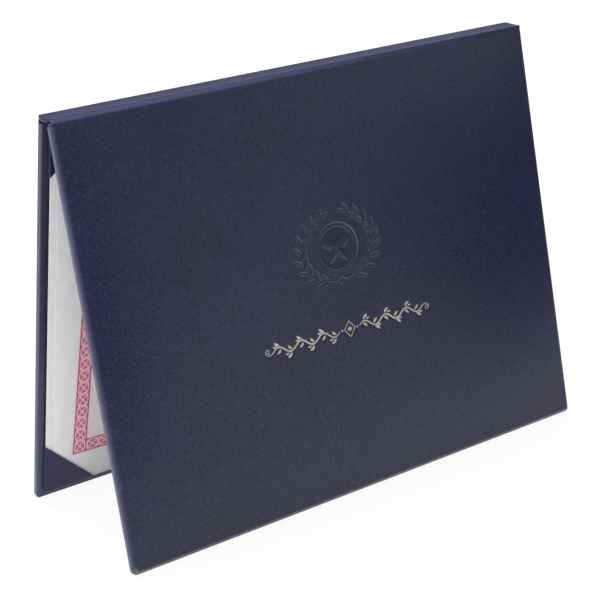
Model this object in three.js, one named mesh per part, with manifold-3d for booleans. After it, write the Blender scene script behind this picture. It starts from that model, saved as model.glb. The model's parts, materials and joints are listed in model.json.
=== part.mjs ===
// A padded certificate cover standing open as a tent, with its fold along the top.
// Millimetres, +Z up, +X to the right and the front cover towards -Y. The origin is on the
// surface that the cover stands on, midway between the two standing edges.
import * as THREE from "three";
import { mergeVertices } from "three/addons/utils/BufferGeometryUtils.js";
import Module from "manifold-3d";

const wasm = await Module();
wasm.setup();

// Driving dimensions
const COVER_WIDTH = 293;
const COVER_HEIGHT = 224; // along the cover, from its standing edge to the fold
const SPINE_WIDTH = 13.2; // across the top, from fold to fold
const LEAN_DEG = 12.25; // each cover, from the vertical
const CERTIFICATE_WIDTH = 279.4; // an 11 by 8.5 inch sheet
const CERTIFICATE_HEIGHT = 215.9;
const CERTIFICATE_SHIFT = 1.5; // the sheet lies a little to the right in its pockets

// Thicknesses of the sheets, and the line of glue between two of them
const LEATHERETTE = 0.5;
const BOARD = 1.6;
const FOAM_AT_EDGE = 1.9;
const LINING = 0.4;
const SPINE_CARD = 0.8;
const SPINE_LINER = 0.3;
const PANEL_CARD = 0.3;
const PANEL_PAPER = 0.12;
const POCKET_SKIN = 0.25;
const SHEET = 0.15;
const GLUE = 0.1;

// Forms of the two covers
const CROWN = 0.5; // how far the padding swells at the middle
const CROWN_REACH = 50; // from the edge to where the padding lies flat
const CROWN_STEPS = 6;
const CORNER_RADIUS = 2.5;
const LEAST_CORNER_RADIUS = 1;
const FOLD_CORNER_RADIUS = 0.8;
const OUTER_EDGE_RADIUS = 2.4;
const INNER_EDGE_RADIUS = 0.7;
const EDGE_STEPS = 5;
const CORNER_STEPS = 6;
const TURN_IN = 16; // leatherette folded over onto the inside of the board
const BOARD_CLEARANCE = 0.4; // board to the inside of its leatherette
const FOOT_FLAT = 0.2; // how much the standing edge is flattened by the weight

// Forms of the fold, the spine and the inside
const HINGE_GAP = 2.8; // board edge to the fold line
const FOLD_RADIUS = 1.6; // outside of the bend
const FOLD_PLAY = 0.3; // between a bent fold and the flat sheets that it joins
const FOLD_STEPS = 10;
const SPINE_TURN_IN = 14;
const LINING_MARGIN = 3;
const LINING_TOP_MARGIN = 0.6;
const LINING_STEP = 0.8; // width of the slope where the lining drops onto the board
const PANEL_SIDE_MARGIN = 4;
const PANEL_FOOT_MARGIN = 4.5;
const PANEL_TOP_MARGIN = 0.3;
const PANEL_TURN_IN = 12;
const PANEL_CORNER_RADIUS = 1.2;
const LOWER_POCKET_LEG = 30; // from the corner to the mouth, along each edge
const UPPER_POCKET_LEG = 28.3;
const POCKET_FLAP = 10;
const BACKING_INSET = 0.2;

// Working tolerances
const CUT_PAST = 1; // how far a cutting body runs past the faces that it cuts
const WELD = 1e-5; // corners closer than this are one corner

// Worked out from the above
const lean = THREE.MathUtils.degToRad(LEAN_DEG);
const foldAngle = Math.PI / 2 - lean;
const edgeThickness = 2 * LEATHERETTE + 3 * GLUE + BOARD + FOAM_AT_EDGE;
const boardTop = COVER_HEIGHT - HINGE_GAP;
const boardInside = LEATHERETTE + GLUE;
const boardOutside = boardInside + BOARD;
const footDrop = INNER_EDGE_RADIUS * (Math.cos(lean) + Math.sin(lean) - 1) + FOOT_FLAT;
const coverRise = COVER_HEIGHT * Math.cos(lean) + edgeThickness * Math.sin(lean);
const coverRun = COVER_HEIGHT * Math.sin(lean) - edgeThickness * Math.cos(lean);
const spineTop = coverRise - footDrop;

// Materials
const finish = (color, roughness) => new THREE.MeshStandardMaterial({ color, roughness, metalness: 0 });
const navyLeatherette = finish(0x2b2c45, 0.5);
const navyLining = finish(0x25263a, 0.75);
const greyBoard = finish(0x8d867b, 0.9);
const paleFoam = finish(0xe6e1d2, 0.95);
const whiteSheet = finish(0xd9d9db, 0.85);
const certificateSheet = finish(0xdededf, 0.8);

// Solids in and out of the boolean library
function toSolid(geometry) {
  const bare = geometry.clone();
  bare.deleteAttribute("normal");
  bare.deleteAttribute("uv");
  const merged = mergeVertices(bare, WELD);
  return new wasm.Manifold(
    new wasm.Mesh({
      numProp: 3,
      vertProperties: new Float32Array(merged.attributes.position.array),
      triVerts: new Uint32Array(merged.index.array),
    }),
  );
}

function toGeometry(solid) {
  const mesh = solid.getMesh();
  const geometry = new THREE.BufferGeometry();
  geometry.setAttribute("position", new THREE.BufferAttribute(mesh.vertProperties, 3));
  geometry.setIndex(new THREE.BufferAttribute(mesh.triVerts, 1));
  geometry.computeVertexNormals();
  return geometry;
}

function addPiece(group, name, geometry, material) {
  const mesh = new THREE.Mesh(geometry, material);
  mesh.name = name;
  group.add(mesh);
}

// A cover and what lies on it are drawn in the cover's own plane: x along the fold, y up from the
// standing edge and z out of the cover, with z = 0 on the inside of the turned-in leatherette.

// Points round a rectangle with rounded corners, anticlockwise from the lower left
function roundedOutline({ left, right, bottom, top, lowRadius, highRadius }) {
  const corners = [
    [left + lowRadius, bottom + lowRadius, lowRadius, Math.PI],
    [right - lowRadius, bottom + lowRadius, lowRadius, 1.5 * Math.PI],
    [right - highRadius, top - highRadius, highRadius, 0],
    [left + highRadius, top - highRadius, highRadius, 0.5 * Math.PI],
  ];
  const points = [];
  for (const [x, y, radius, start] of corners) {
    for (let step = 0; step <= CORNER_STEPS; step++) {
      const angle = start + (step / CORNER_STEPS) * 0.5 * Math.PI;
      points.push(new THREE.Vector2(x + radius * Math.cos(angle), y + radius * Math.sin(angle)));
    }
  }
  return points;
}

// A closed body through outlines of equal point count, from the lowest to the last
function loft(rings) {
  const count = rings[0].points.length;
  const positions = rings.flatMap(({ points, z }) => points.flatMap((p) => [p.x, p.y, z]));
  const index = [];
  for (let ring = 0; ring + 1 < rings.length; ring++) {
    for (let i = 0; i < count; i++) {
      const a = ring * count + i;
      const b = ring * count + ((i + 1) % count);
      index.push(a, b, b + count, a, b + count, a + count);
    }
  }
  const last = (rings.length - 1) * count;
  for (let i = 1; i + 1 < count; i++) {
    index.push(0, i + 1, i, last, last + i, last + i + 1);
  }
  const geometry = new THREE.BufferGeometry();
  geometry.setAttribute("position", new THREE.Float32BufferAttribute(positions, 3));
  geometry.setIndex(index);
  return geometry;
}

// The cover's outline drawn in from its three free edges and, apart from that, from the fold
function coverRing(inset, insetAtFold, z) {
  const points = roundedOutline({
    left: -COVER_WIDTH / 2 + inset,
    right: COVER_WIDTH / 2 - inset,
    bottom: inset,
    top: boardTop - insetAtFold,
    lowRadius: Math.max(CORNER_RADIUS - inset, LEAST_CORNER_RADIUS),
    highRadius: FOLD_CORNER_RADIUS,
  });
  return { points, z };
}

// The turned edge between its inner and its outer face, at an offset in from the outside
function innerEdgeRings(offset, insetAtFold) {
  const radius = INNER_EDGE_RADIUS - offset;
  const rings = [];
  for (let step = 0; step <= EDGE_STEPS; step++) {
    const angle = (1 - step / EDGE_STEPS) * 0.5 * Math.PI;
    const inset = INNER_EDGE_RADIUS - radius * Math.cos(angle);
    rings.push(coverRing(inset, insetAtFold, INNER_EDGE_RADIUS - radius * Math.sin(angle)));
  }
  return rings;
}

// The round outer edge and the padding's crown beyond it
function outerEdgeRings(offset, insetAtFold) {
  const radius = OUTER_EDGE_RADIUS - offset;
  const centre = edgeThickness - OUTER_EDGE_RADIUS;
  const rings = [];
  for (let step = 0; step <= EDGE_STEPS; step++) {
    const angle = (step / EDGE_STEPS) * 0.5 * Math.PI;
    const inset = OUTER_EDGE_RADIUS - radius * Math.cos(angle);
    rings.push(coverRing(inset, insetAtFold, centre + radius * Math.sin(angle)));
  }
  for (let step = 1; step <= CROWN_STEPS; step++) {
    const share = step / CROWN_STEPS;
    const swell = CROWN * (1 - (1 - share) ** 2);
    const drawn = share * CROWN_REACH;
    rings.push(coverRing(OUTER_EDGE_RADIUS + drawn, drawn, edgeThickness - offset + swell));
  }
  return rings;
}

// Flat sheets and plates with rounded corners
function plate(bounds, fromZ, toZ) {
  const points = roundedOutline(bounds);
  return loft([
    { points, z: fromZ },
    { points, z: toZ },
  ]);
}

// Leatherette stretched over the padding and turned in round the board, open along the fold
function coverLeatherette(coverMatrix) {
  const outside = toSolid(loft([...innerEdgeRings(0, 0), ...outerEdgeRings(0, 0)]));
  const hollow = toSolid(
    loft([...innerEdgeRings(LEATHERETTE, -CUT_PAST), ...outerEdgeRings(LEATHERETTE, -CUT_PAST)]),
  );
  const window = toSolid(
    loft([coverRing(TURN_IN, TURN_IN, -CUT_PAST), coverRing(TURN_IN, TURN_IN, 2 * LEATHERETTE)]),
  );
  const ground = new THREE.BoxGeometry(2 * COVER_WIDTH, COVER_WIDTH, CUT_PAST).translate(0, 0, -CUT_PAST / 2);
  const floor = toSolid(ground.applyMatrix4(coverMatrix.clone().invert()));
  return toGeometry(outside.subtract(hollow).subtract(window).subtract(floor));
}

// Foam between the board and the leatherette, cut to the size of the board
function coverFoam() {
  const offset = LEATHERETTE + GLUE;
  const base = coverRing(offset, GLUE, boardOutside + GLUE);
  return loft([base, ...outerEdgeRings(offset, GLUE)]);
}

function coverBoard() {
  const inset = LEATHERETTE + BOARD_CLEARANCE;
  return loft([coverRing(inset, GLUE, boardInside), coverRing(inset, GLUE, boardOutside)]);
}

// Lining pasted over the turn-ins and down onto the board, so it dips inside them
function coverLining() {
  const face = -GLUE - LINING;
  const dip = LEATHERETTE + GLUE;
  const slopeFrom = TURN_IN + GLUE;
  const slopeTo = slopeFrom + LINING_STEP;
  return loft([
    coverRing(slopeTo + LINING, slopeTo + LINING, face + dip),
    coverRing(slopeFrom + LINING, slopeFrom + LINING, face),
    coverRing(LINING_MARGIN, LINING_TOP_MARGIN, face),
    coverRing(LINING_MARGIN, LINING_TOP_MARGIN, -GLUE),
    coverRing(slopeFrom, slopeFrom, -GLUE),
    coverRing(slopeTo, slopeTo, dip - GLUE),
  ]);
}

function addCover(group, side) {
  group.updateMatrix();
  addPiece(group, `${side}_leatherette`, coverLeatherette(group.matrix), navyLeatherette);
  addPiece(group, `${side}_foam_pad`, coverFoam(), paleFoam);
  addPiece(group, `${side}_board`, coverBoard(), greyBoard);
}

// The document panel and its sheets, from the cover's inside towards the reader
const flapOutside = -GLUE;
const panelBack = flapOutside - POCKET_SKIN - GLUE;
const panelFace = panelBack - 2 * (PANEL_PAPER + GLUE) - PANEL_CARD;
const backingBack = panelFace - GLUE;
const certificateBack = backingBack - SHEET - GLUE;
const pocketFaceBack = certificateBack - SHEET - GLUE;
const panelHalfWidth = COVER_WIDTH / 2 - PANEL_SIDE_MARGIN;
const panelTop = boardTop - PANEL_TOP_MARGIN;
const panelBounds = (inset) => ({
  left: -panelHalfWidth + inset,
  right: panelHalfWidth - inset,
  bottom: PANEL_FOOT_MARGIN + inset,
  top: panelTop - inset,
  lowRadius: PANEL_CORNER_RADIUS,
  highRadius: PANEL_CORNER_RADIUS,
});

// Lining paper wrapped round the panel's card and turned in on its back
function panelWrap() {
  const outside = toSolid(plate(panelBounds(0), panelFace, panelBack));
  const hollow = toSolid(plate(panelBounds(PANEL_PAPER), panelFace + PANEL_PAPER, panelBack - PANEL_PAPER));
  const windowFrom = panelBack - 2 * PANEL_PAPER;
  const window = toSolid(plate(panelBounds(PANEL_TURN_IN), windowFrom, panelBack + CUT_PAST));
  return toGeometry(outside.subtract(hollow).subtract(window));
}

function panelCard() {
  const inset = PANEL_PAPER + GLUE;
  return plate(panelBounds(inset), panelFace + inset, panelBack - inset);
}

function backingSheet() {
  return plate(panelBounds(BACKING_INSET), backingBack - SHEET, backingBack);
}

function certificate() {
  const middle = (PANEL_FOOT_MARGIN + panelTop) / 2;
  const bounds = {
    left: -CERTIFICATE_WIDTH / 2 - CERTIFICATE_SHIFT,
    right: CERTIFICATE_WIDTH / 2 - CERTIFICATE_SHIFT,
    bottom: middle - CERTIFICATE_HEIGHT / 2,
    top: middle + CERTIFICATE_HEIGHT / 2,
    lowRadius: FOLD_CORNER_RADIUS,
    highRadius: FOLD_CORNER_RADIUS,
  };
  return plate(bounds, certificateBack - SHEET, certificateBack);
}

// A triangle of leatherette over one corner of the panel, with a flap glued behind each edge.
// toRight and toTop are +1 or -1 and say which corner.
function cornerPocket(toRight, toTop) {
  const wall = GLUE + POCKET_SKIN;
  const cornerX = toRight * panelHalfWidth;
  const cornerY = toTop > 0 ? panelTop : PANEL_FOOT_MARGIN;
  const leg = toTop > 0 ? UPPER_POCKET_LEG : LOWER_POCKET_LEG;
  const at = (alongX, alongY) => new THREE.Vector2(cornerX - toRight * alongX, cornerY - toTop * alongY);
  const prism = (points, fromZ, toZ) => {
    const depth = toZ - fromZ;
    const shape = new THREE.Shape(points);
    const body = new THREE.ExtrudeGeometry(shape, { depth, bevelEnabled: false });
    return toSolid(body.translate(0, 0, fromZ));
  };
  const square = (from, to, fromZ, toZ) =>
    prism([at(from, from), at(to, from), at(to, to), at(from, to)], fromZ, toZ);
  const mouth = leg + wall;
  const nip = POCKET_SKIN; // the folded corner is nipped off, not sharp
  const triangle = [
    at(nip - wall, -wall),
    at(mouth, -wall),
    at(-wall, mouth),
    at(-wall, nip - wall),
  ];
  const envelope = prism(triangle, pocketFaceBack - POCKET_SKIN, flapOutside);
  const slot = square(-GLUE, 2 * leg, pocketFaceBack, flapOutside - POCKET_SKIN);
  const behind = square(POCKET_FLAP, 2 * leg, pocketFaceBack, flapOutside + CUT_PAST);
  return toGeometry(envelope.subtract(slot).subtract(behind));
}

// Strips along the fold: a profile drawn in y and z, run along x and centred
function strip(profile, length) {
  const body = new THREE.ExtrudeGeometry(profile, { depth: length, bevelEnabled: false });
  const alongX = new THREE.Matrix4().makeBasis(
    new THREE.Vector3(0, 1, 0),
    new THREE.Vector3(0, 0, 1),
    new THREE.Vector3(1, 0, 0),
  );
  return body.applyMatrix4(alongX).translate(-length / 2, 0, 0);
}

function stripProfile(halfWidth, fromZ, toZ) {
  return new THREE.Shape([
    new THREE.Vector2(-halfWidth, fromZ),
    new THREE.Vector2(halfWidth, fromZ),
    new THREE.Vector2(halfWidth, toZ),
    new THREE.Vector2(-halfWidth, toZ),
  ]);
}

// The leatherette between a cover and the spine: flat, bent round on an arc and flat again.
// toFront is +1 for the fold on the front cover's side and -1 for the other.
function hingeFold(toFront) {
  const tangent = FOLD_RADIUS * Math.tan(foldAngle / 2);
  const flat = HINGE_GAP - FOLD_PLAY - tangent;
  const inner = FOLD_RADIUS - LEATHERETTE;
  const centreY = -SPINE_WIDTH / 2 + tangent;
  const centreZ = spineTop - FOLD_RADIUS;
  const bendEnd = Math.PI / 2 + foldAngle;
  const coverEnd = (radius) => [
    centreY + radius * Math.cos(bendEnd) - flat * Math.sin(lean),
    centreZ + radius * Math.sin(bendEnd) - flat * Math.cos(lean),
  ];
  const profile = new THREE.Shape();
  profile.moveTo(centreY + flat, spineTop);
  profile.absarc(centreY, centreZ, FOLD_RADIUS, Math.PI / 2, bendEnd, false);
  profile.lineTo(...coverEnd(FOLD_RADIUS));
  profile.lineTo(...coverEnd(inner));
  profile.absarc(centreY, centreZ, inner, bendEnd, Math.PI / 2, true);
  profile.lineTo(centreY + flat, spineTop - LEATHERETTE);
  const body = new THREE.ExtrudeGeometry(profile, {
    depth: COVER_WIDTH - 2 * FOLD_CORNER_RADIUS,
    bevelEnabled: false,
    curveSegments: FOLD_STEPS,
  });
  const turned = new THREE.Matrix4().makeBasis(
    new THREE.Vector3(0, toFront, 0),
    new THREE.Vector3(0, 0, 1),
    new THREE.Vector3(toFront, 0, 0),
  );
  body.translate(0, 0, -COVER_WIDTH / 2 + FOLD_CORNER_RADIUS);
  return body.applyMatrix4(turned);
}

// The spine's leatherette, turned in round both ends of its card
const spineHalfWidth = SPINE_WIDTH / 2 - HINGE_GAP;
const spineDepth = 2 * (LEATHERETTE + GLUE) + SPINE_CARD;

function spineLeatherette() {
  const outer = toSolid(strip(stripProfile(spineHalfWidth, spineTop - spineDepth, spineTop), COVER_WIDTH));
  const hollowProfile = stripProfile(
    spineHalfWidth + CUT_PAST,
    spineTop - spineDepth + LEATHERETTE,
    spineTop - LEATHERETTE,
  );
  const hollow = toSolid(strip(hollowProfile, COVER_WIDTH - 2 * LEATHERETTE));
  const gapProfile = stripProfile(
    spineHalfWidth + CUT_PAST,
    spineTop - spineDepth - CUT_PAST,
    spineTop - 2 * LEATHERETTE,
  );
  const gap = toSolid(strip(gapProfile, COVER_WIDTH - 2 * SPINE_TURN_IN));
  return toGeometry(outer.subtract(hollow).subtract(gap));
}

function spineBoard() {
  const top = spineTop - LEATHERETTE - GLUE;
  const length = COVER_WIDTH - 2 * (LEATHERETTE + GLUE);
  return strip(stripProfile(spineHalfWidth, top - SPINE_CARD, top), length);
}

function spineLiner() {
  const top = spineTop - spineDepth - GLUE;
  return strip(stripProfile(spineHalfWidth, top - SPINE_LINER, top), COVER_WIDTH - 2 * LINING_MARGIN);
}

// Assembly
const certificateCover = new THREE.Group();

const frontCover = new THREE.Group();
frontCover.position.set(0, -SPINE_WIDTH / 2 - coverRun, -footDrop);
frontCover.rotation.x = foldAngle;
addCover(frontCover, "front");
addPiece(frontCover, "front_lining", coverLining(), navyLining);

const spine = new THREE.Group();
addPiece(spine, "spine_leatherette", spineLeatherette(), navyLeatherette);
addPiece(spine, "spine_board", spineBoard(), greyBoard);
addPiece(spine, "spine_liner", spineLiner(), navyLining);
addPiece(spine, "front_hinge_fold", hingeFold(1), navyLeatherette);
addPiece(spine, "rear_hinge_fold", hingeFold(-1), navyLeatherette);

// The rear cover is the front one turned round, so its x runs to the left
const rearCover = new THREE.Group();
rearCover.position.set(0, SPINE_WIDTH / 2 + coverRun, -footDrop);
rearCover.rotation.set(foldAngle, 0, Math.PI, "ZXY");
addCover(rearCover, "rear");
addPiece(rearCover, "document_panel_wrap", panelWrap(), navyLining);
addPiece(rearCover, "document_panel_card", panelCard(), greyBoard);
addPiece(rearCover, "backing_sheet", backingSheet(), whiteSheet);
addPiece(rearCover, "certificate_sheet", certificate(), certificateSheet);
for (const [height, toTop] of [["lower", -1], ["upper", 1]]) {
  for (const [hand, toRight] of [["left", 1], ["right", -1]]) {
    addPiece(rearCover, `${height}_${hand}_pocket`, cornerPocket(toRight, toTop), navyLeatherette);
  }
}

certificateCover.add(frontCover, spine, rearCover);

export default certificateCover;
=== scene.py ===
"""A padded certificate cover standing open as a tent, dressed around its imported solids.

The script loads the solids as a fixed frame, makes each piece with an operator of its own and
leaves the scene ready to render. Lengths are metres, in the frame of the solids.
"""

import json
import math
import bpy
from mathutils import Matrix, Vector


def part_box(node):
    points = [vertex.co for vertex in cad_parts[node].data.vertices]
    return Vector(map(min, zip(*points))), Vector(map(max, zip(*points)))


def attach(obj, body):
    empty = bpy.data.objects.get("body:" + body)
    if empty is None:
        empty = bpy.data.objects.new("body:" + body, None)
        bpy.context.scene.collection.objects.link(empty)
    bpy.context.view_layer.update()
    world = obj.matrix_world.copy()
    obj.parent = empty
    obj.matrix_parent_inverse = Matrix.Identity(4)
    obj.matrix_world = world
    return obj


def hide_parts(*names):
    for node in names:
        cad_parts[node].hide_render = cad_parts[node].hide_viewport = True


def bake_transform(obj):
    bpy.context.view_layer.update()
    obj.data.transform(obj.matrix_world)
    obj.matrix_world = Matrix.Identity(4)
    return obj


bl_info = {
    "name": "Padded certificate cover",
    "version": (1, 0, 0),
    "blender": (4, 5, 0),
    "location": "3D View > Sidebar > Certificate cover",
    "description": "Leatherette skins, pockets, ornament, papers and stage of a padded certificate cover",
    "category": "Object",
}

import bmesh
import bpy
import numpy as np
from mathutils import Matrix, Vector

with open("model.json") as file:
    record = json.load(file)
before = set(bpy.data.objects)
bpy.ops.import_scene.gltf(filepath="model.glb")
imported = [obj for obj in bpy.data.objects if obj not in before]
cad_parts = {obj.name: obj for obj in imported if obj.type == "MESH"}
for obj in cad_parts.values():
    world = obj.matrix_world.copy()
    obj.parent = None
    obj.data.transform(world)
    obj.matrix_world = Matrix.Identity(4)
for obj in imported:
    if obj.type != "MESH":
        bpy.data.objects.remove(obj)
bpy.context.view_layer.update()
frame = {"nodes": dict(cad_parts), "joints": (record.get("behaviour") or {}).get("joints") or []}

MM = 0.001
FRONT, REAR = -1, 1
GLUE = 0.1 * MM
WHITE = (1.0, 1.0, 1.0, 1.0)

JOINTS = {joint["name"]: joint for joint in frame["joints"]}
LEAN = -math.radians(JOINTS["front_fold"]["range_deg"][0])
COVER_LOW, COVER_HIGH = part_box("front_leatherette")
SPINE_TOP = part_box("spine_leatherette")[1].z


# Sizes and colours that a user would change


def length(name, default, description):
    return bpy.props.FloatProperty(
        name=name, description=description, default=default, unit="LENGTH", precision=5
    )


def angle(name, default, description):
    return bpy.props.FloatProperty(name=name, description=description, default=default, subtype="ANGLE")


def power(name, default, description):
    return bpy.props.FloatProperty(name=name, description=description, default=default, unit="POWER")


def share(name, default, description):
    return bpy.props.FloatProperty(
        name=name, description=description, default=default, min=0.0, max=1.0, subtype="FACTOR"
    )


def colour(name, default, description):
    return bpy.props.FloatVectorProperty(
        name=name, description=description, default=default, size=4, min=0.0, max=1.0, subtype="COLOR"
    )


class CoverSizes(bpy.types.PropertyGroup):
    """Sizes of the two covers, their fold and what they hold"""

    width: length("Width", COVER_HIGH.x - COVER_LOW.x, "Along the fold")
    height: length("Height", 0.224, "From the standing edge to the fold line")
    lean: angle("Lean", LEAN, "Each cover from the vertical")
    thickness: length("Thickness", 0.0048, "Of a cover at its edge")
    edge_radius: length("Outer edge radius", 0.0024, "Round of the padded outer edge")
    inner_radius: length("Inner edge radius", 0.0007, "Round of the edge on the board's inside")
    corner_radius: length("Corner radius", 0.0025, "Of the two standing corners")
    fold_corner: length("Fold corner radius", 0.0008, "Of the two corners at the fold")
    crown: length("Crown", 0.0016, "How far the padding swells at the middle")
    crown_reach: length("Crown reach", 0.05, "From the edge to where the padding lies flat")
    unevenness: length("Unevenness", 0.00003, "Slow waves in the padding")
    skin: length("Leatherette", 0.0005, "Thickness of the leatherette")
    turn_in: length("Turn-in", 0.016, "Leatherette folded over onto the board's inside")
    foot_flat: length("Foot flat", 0.0002, "How much the standing edge is pressed flat")
    hinge_gap: length("Hinge gap", 0.0028, "From a board's edge to the fold line")
    fold_lip: length("Fold lip", 0.0013, "Reach of a cover's padded edge past its board, up to the bend")
    fold_radius: length("Fold radius", 0.0016, "Outside of the bend between a cover and the spine")
    spine_width: length("Spine width", 0.0132, "Across the top, from fold to fold")
    spine_depth: length("Spine depth", 0.002, "Card and leatherette of the spine together")
    spine_turn_in: length("Spine turn-in", 0.014, "Leatherette turned in at the ends of the spine")
    tongue: length("Tongue", 0.0016, "How far the turned ends of the spine bow out at the middle")
    dish: length("Dish", 0.0003, "How far the spine's leatherette sags between the folds")


class PocketSizes(bpy.types.PropertyGroup):
    """Sizes of the corner pockets, measured on the rear cover"""

    side: length("Side", 0.00365, "From a cover's side to a pocket's folded edge")
    low: length("Low", 0.00415, "Lower edge of the lower pockets above the standing edge")
    high: length("High", 0.22125, "Upper edge of the upper pockets above the standing edge")
    lower_leg: length("Lower leg", 0.03035, "Of the lower pockets, from the corner to the mouth")
    upper_leg: length("Upper leg", 0.02865, "Of the upper pockets, from the corner to the mouth")
    flap: length("Flap", 0.01, "Glued behind the document panel")
    skin: length("Skin", 0.00025, "Thickness of the leatherette")
    face: length("Face", -0.00204, "Level of the outside, out of the rear cover")
    back: length("Back", -0.0001, "Level of the flaps' outside")
    edge_radius: length("Edge radius", 0.0005, "Round of the folded edges")
    bulge: length("Bulge", 0.0004, "How far the mouth stands off the sheet")


class OrnamentSizes(bpy.types.PropertyGroup):
    """Places and depths of the pressed motif and the foil line"""

    motif_x: length("Motif across", 0.0, "Centre of the pressed motif along the fold")
    motif_s: length("Motif up", 0.131, "Centre of the pressed motif above the standing edge")
    press: length("Press", 0.0006, "Depth of the pressed motif")
    foil_x: length("Foil across", 0.0, "Centre of the foil line along the fold")
    foil_s: length("Foil up", 0.0874, "Centre of the foil line above the standing edge")
    foil_press: length("Foil press", 0.00012, "How far the foil is stamped into the leatherette")
    foil_thickness: length("Foil thickness", 0.00004, "Of the foil")


class CoverColours(bpy.types.PropertyGroup):
    """Base colours, in linear light"""

    leatherette: colour("Leatherette", (0.0105, 0.0120, 0.0500, 1.0), "Outside of the covers and spine")
    pocket: colour("Pocket", (0.0150, 0.0140, 0.0600, 1.0), "Corner pockets")
    lining: colour("Lining", (0.0080, 0.0080, 0.0180, 1.0), "Lining and document panel")
    greyboard: colour("Greyboard", (0.2700, 0.2500, 0.2200, 1.0), "Boards and cards")
    foam: colour("Foam", (0.7800, 0.7500, 0.6600, 1.0), "Padding")
    backing: colour("Backing", (0.8100, 0.8100, 0.8250, 1.0), "Sheet behind the certificate")
    paper: colour("Paper", (0.8700, 0.8680, 0.8800, 1.0), "Certificate")
    print_ground: colour("Print ground", (0.5800, 0.1350, 0.2200, 1.0), "Ground of the printed border")
    print_line: colour("Print line", (0.3300, 0.0720, 0.1300, 1.0), "Rules along the printed border")
    print_strand: colour("Print strand", (0.9800, 0.5400, 0.6700, 1.0), "Plait in the printed border")
    foil: colour("Foil", (0.7400, 0.7100, 0.6200, 1.0), "Stamped line")


class StageSettings(bpy.types.PropertyGroup):
    """Floor, light and camera"""

    floor_half: length("Floor half width", 12.0, "From the middle of the floor to its edge")
    floor_shown: colour("Shown floor", (0.90, 0.90, 0.90, 1.0), "Floor as the camera sees it")
    floor_bounce: colour("Floor bounce", (0.85, 0.85, 0.85, 1.0), "Floor as it lights the object")
    floor_white: share("Floor white", 0.93, "Share of plain white in the floor as it shows")
    world: share("World", 0.33, "Strength of the even light all round")
    top_lamp: power("Top lamp", 82.0, "Large soft lamp above and behind")
    front_lamp: power("Front lamp", 6.2, "Soft lamp beside the camera")
    rim_lamp: power("Rim lamp", 27.0, "Soft lamp at the left end")
    side_lamp: power("Side lamp", 3.2, "Lamp that shines in between the covers")
    lens_angle: angle("Lens angle", math.radians(21.063), "Angle of view")


# Shader maths


class Wire:
    """An output socket in a material, which sums and products can be written with."""

    def __init__(self, socket):
        self.socket = socket

    @staticmethod
    def pick(sockets, key):
        """A socket by its number, or the one in use that has this name."""
        if isinstance(key, int):
            return sockets[key]
        return next(s for s in sockets if s.enabled and key in (s.name, s.identifier))

    @staticmethod
    def node(tree, kind, settings=None, inputs=None, output=0):
        """Adds a node: its settings first, then the values or links of its sockets."""
        made = tree.nodes.new(kind)
        for key, value in (settings or {}).items():
            setattr(made, key, value)
        for key, value in (inputs or {}).items():
            socket = Wire.pick(made.inputs, key)
            if isinstance(value, Wire):
                tree.links.new(value.socket, socket)
            else:
                socket.default_value = value
        return Wire(Wire.pick(made.outputs, output)) if made.outputs else None

    def math(self, operation, *others):
        inputs = dict(enumerate((self, *others)))
        return Wire.node(self.socket.id_data, "ShaderNodeMath", {"operation": operation}, inputs)

    def flipped(self, operation, other):
        inputs = {0: other, 1: self}
        return Wire.node(self.socket.id_data, "ShaderNodeMath", {"operation": operation}, inputs)

    def __add__(self, other):
        return self.math("ADD", other)

    __radd__ = __add__

    def __sub__(self, other):
        return self.math("SUBTRACT", other)

    def __rsub__(self, other):
        return self.flipped("SUBTRACT", other)

    def __mul__(self, other):
        return self.math("MULTIPLY", other)

    __rmul__ = __mul__

    def __truediv__(self, other):
        return self.math("DIVIDE", other)

    def __rtruediv__(self, other):
        return self.flipped("DIVIDE", other)

    def __lt__(self, other):
        return self.math("LESS_THAN", other)

    def __gt__(self, other):
        return self.math("GREATER_THAN", other)

    def __abs__(self):
        return self.math("ABSOLUTE")

    def ease(self, low, high, start=0.0, end=1.0):
        """Runs smoothly from start to end as the value goes from low to high."""
        settings = {"interpolation_type": "SMOOTHSTEP"}
        inputs = {"Value": self, "From Min": low, "From Max": high, "To Min": start, "To Max": end}
        return Wire.node(self.socket.id_data, "ShaderNodeMapRange", settings, inputs)

    def blend(self, first, second):
        """Mixes two colours with this value as the share of the second."""
        settings = {"data_type": "RGBA"}
        inputs = {"Factor": self, "A": first, "B": second}
        return Wire.node(self.socket.id_data, "ShaderNodeMix", settings, inputs, "Result")


CREASE_SLANT = (0.0, 0.6, 0.0)
CREASE_SCALE = (170.0, 170.0, 60.0)
CREASE_PATCHES = 45.0
CREASE_WIDTH = 0.09


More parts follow.
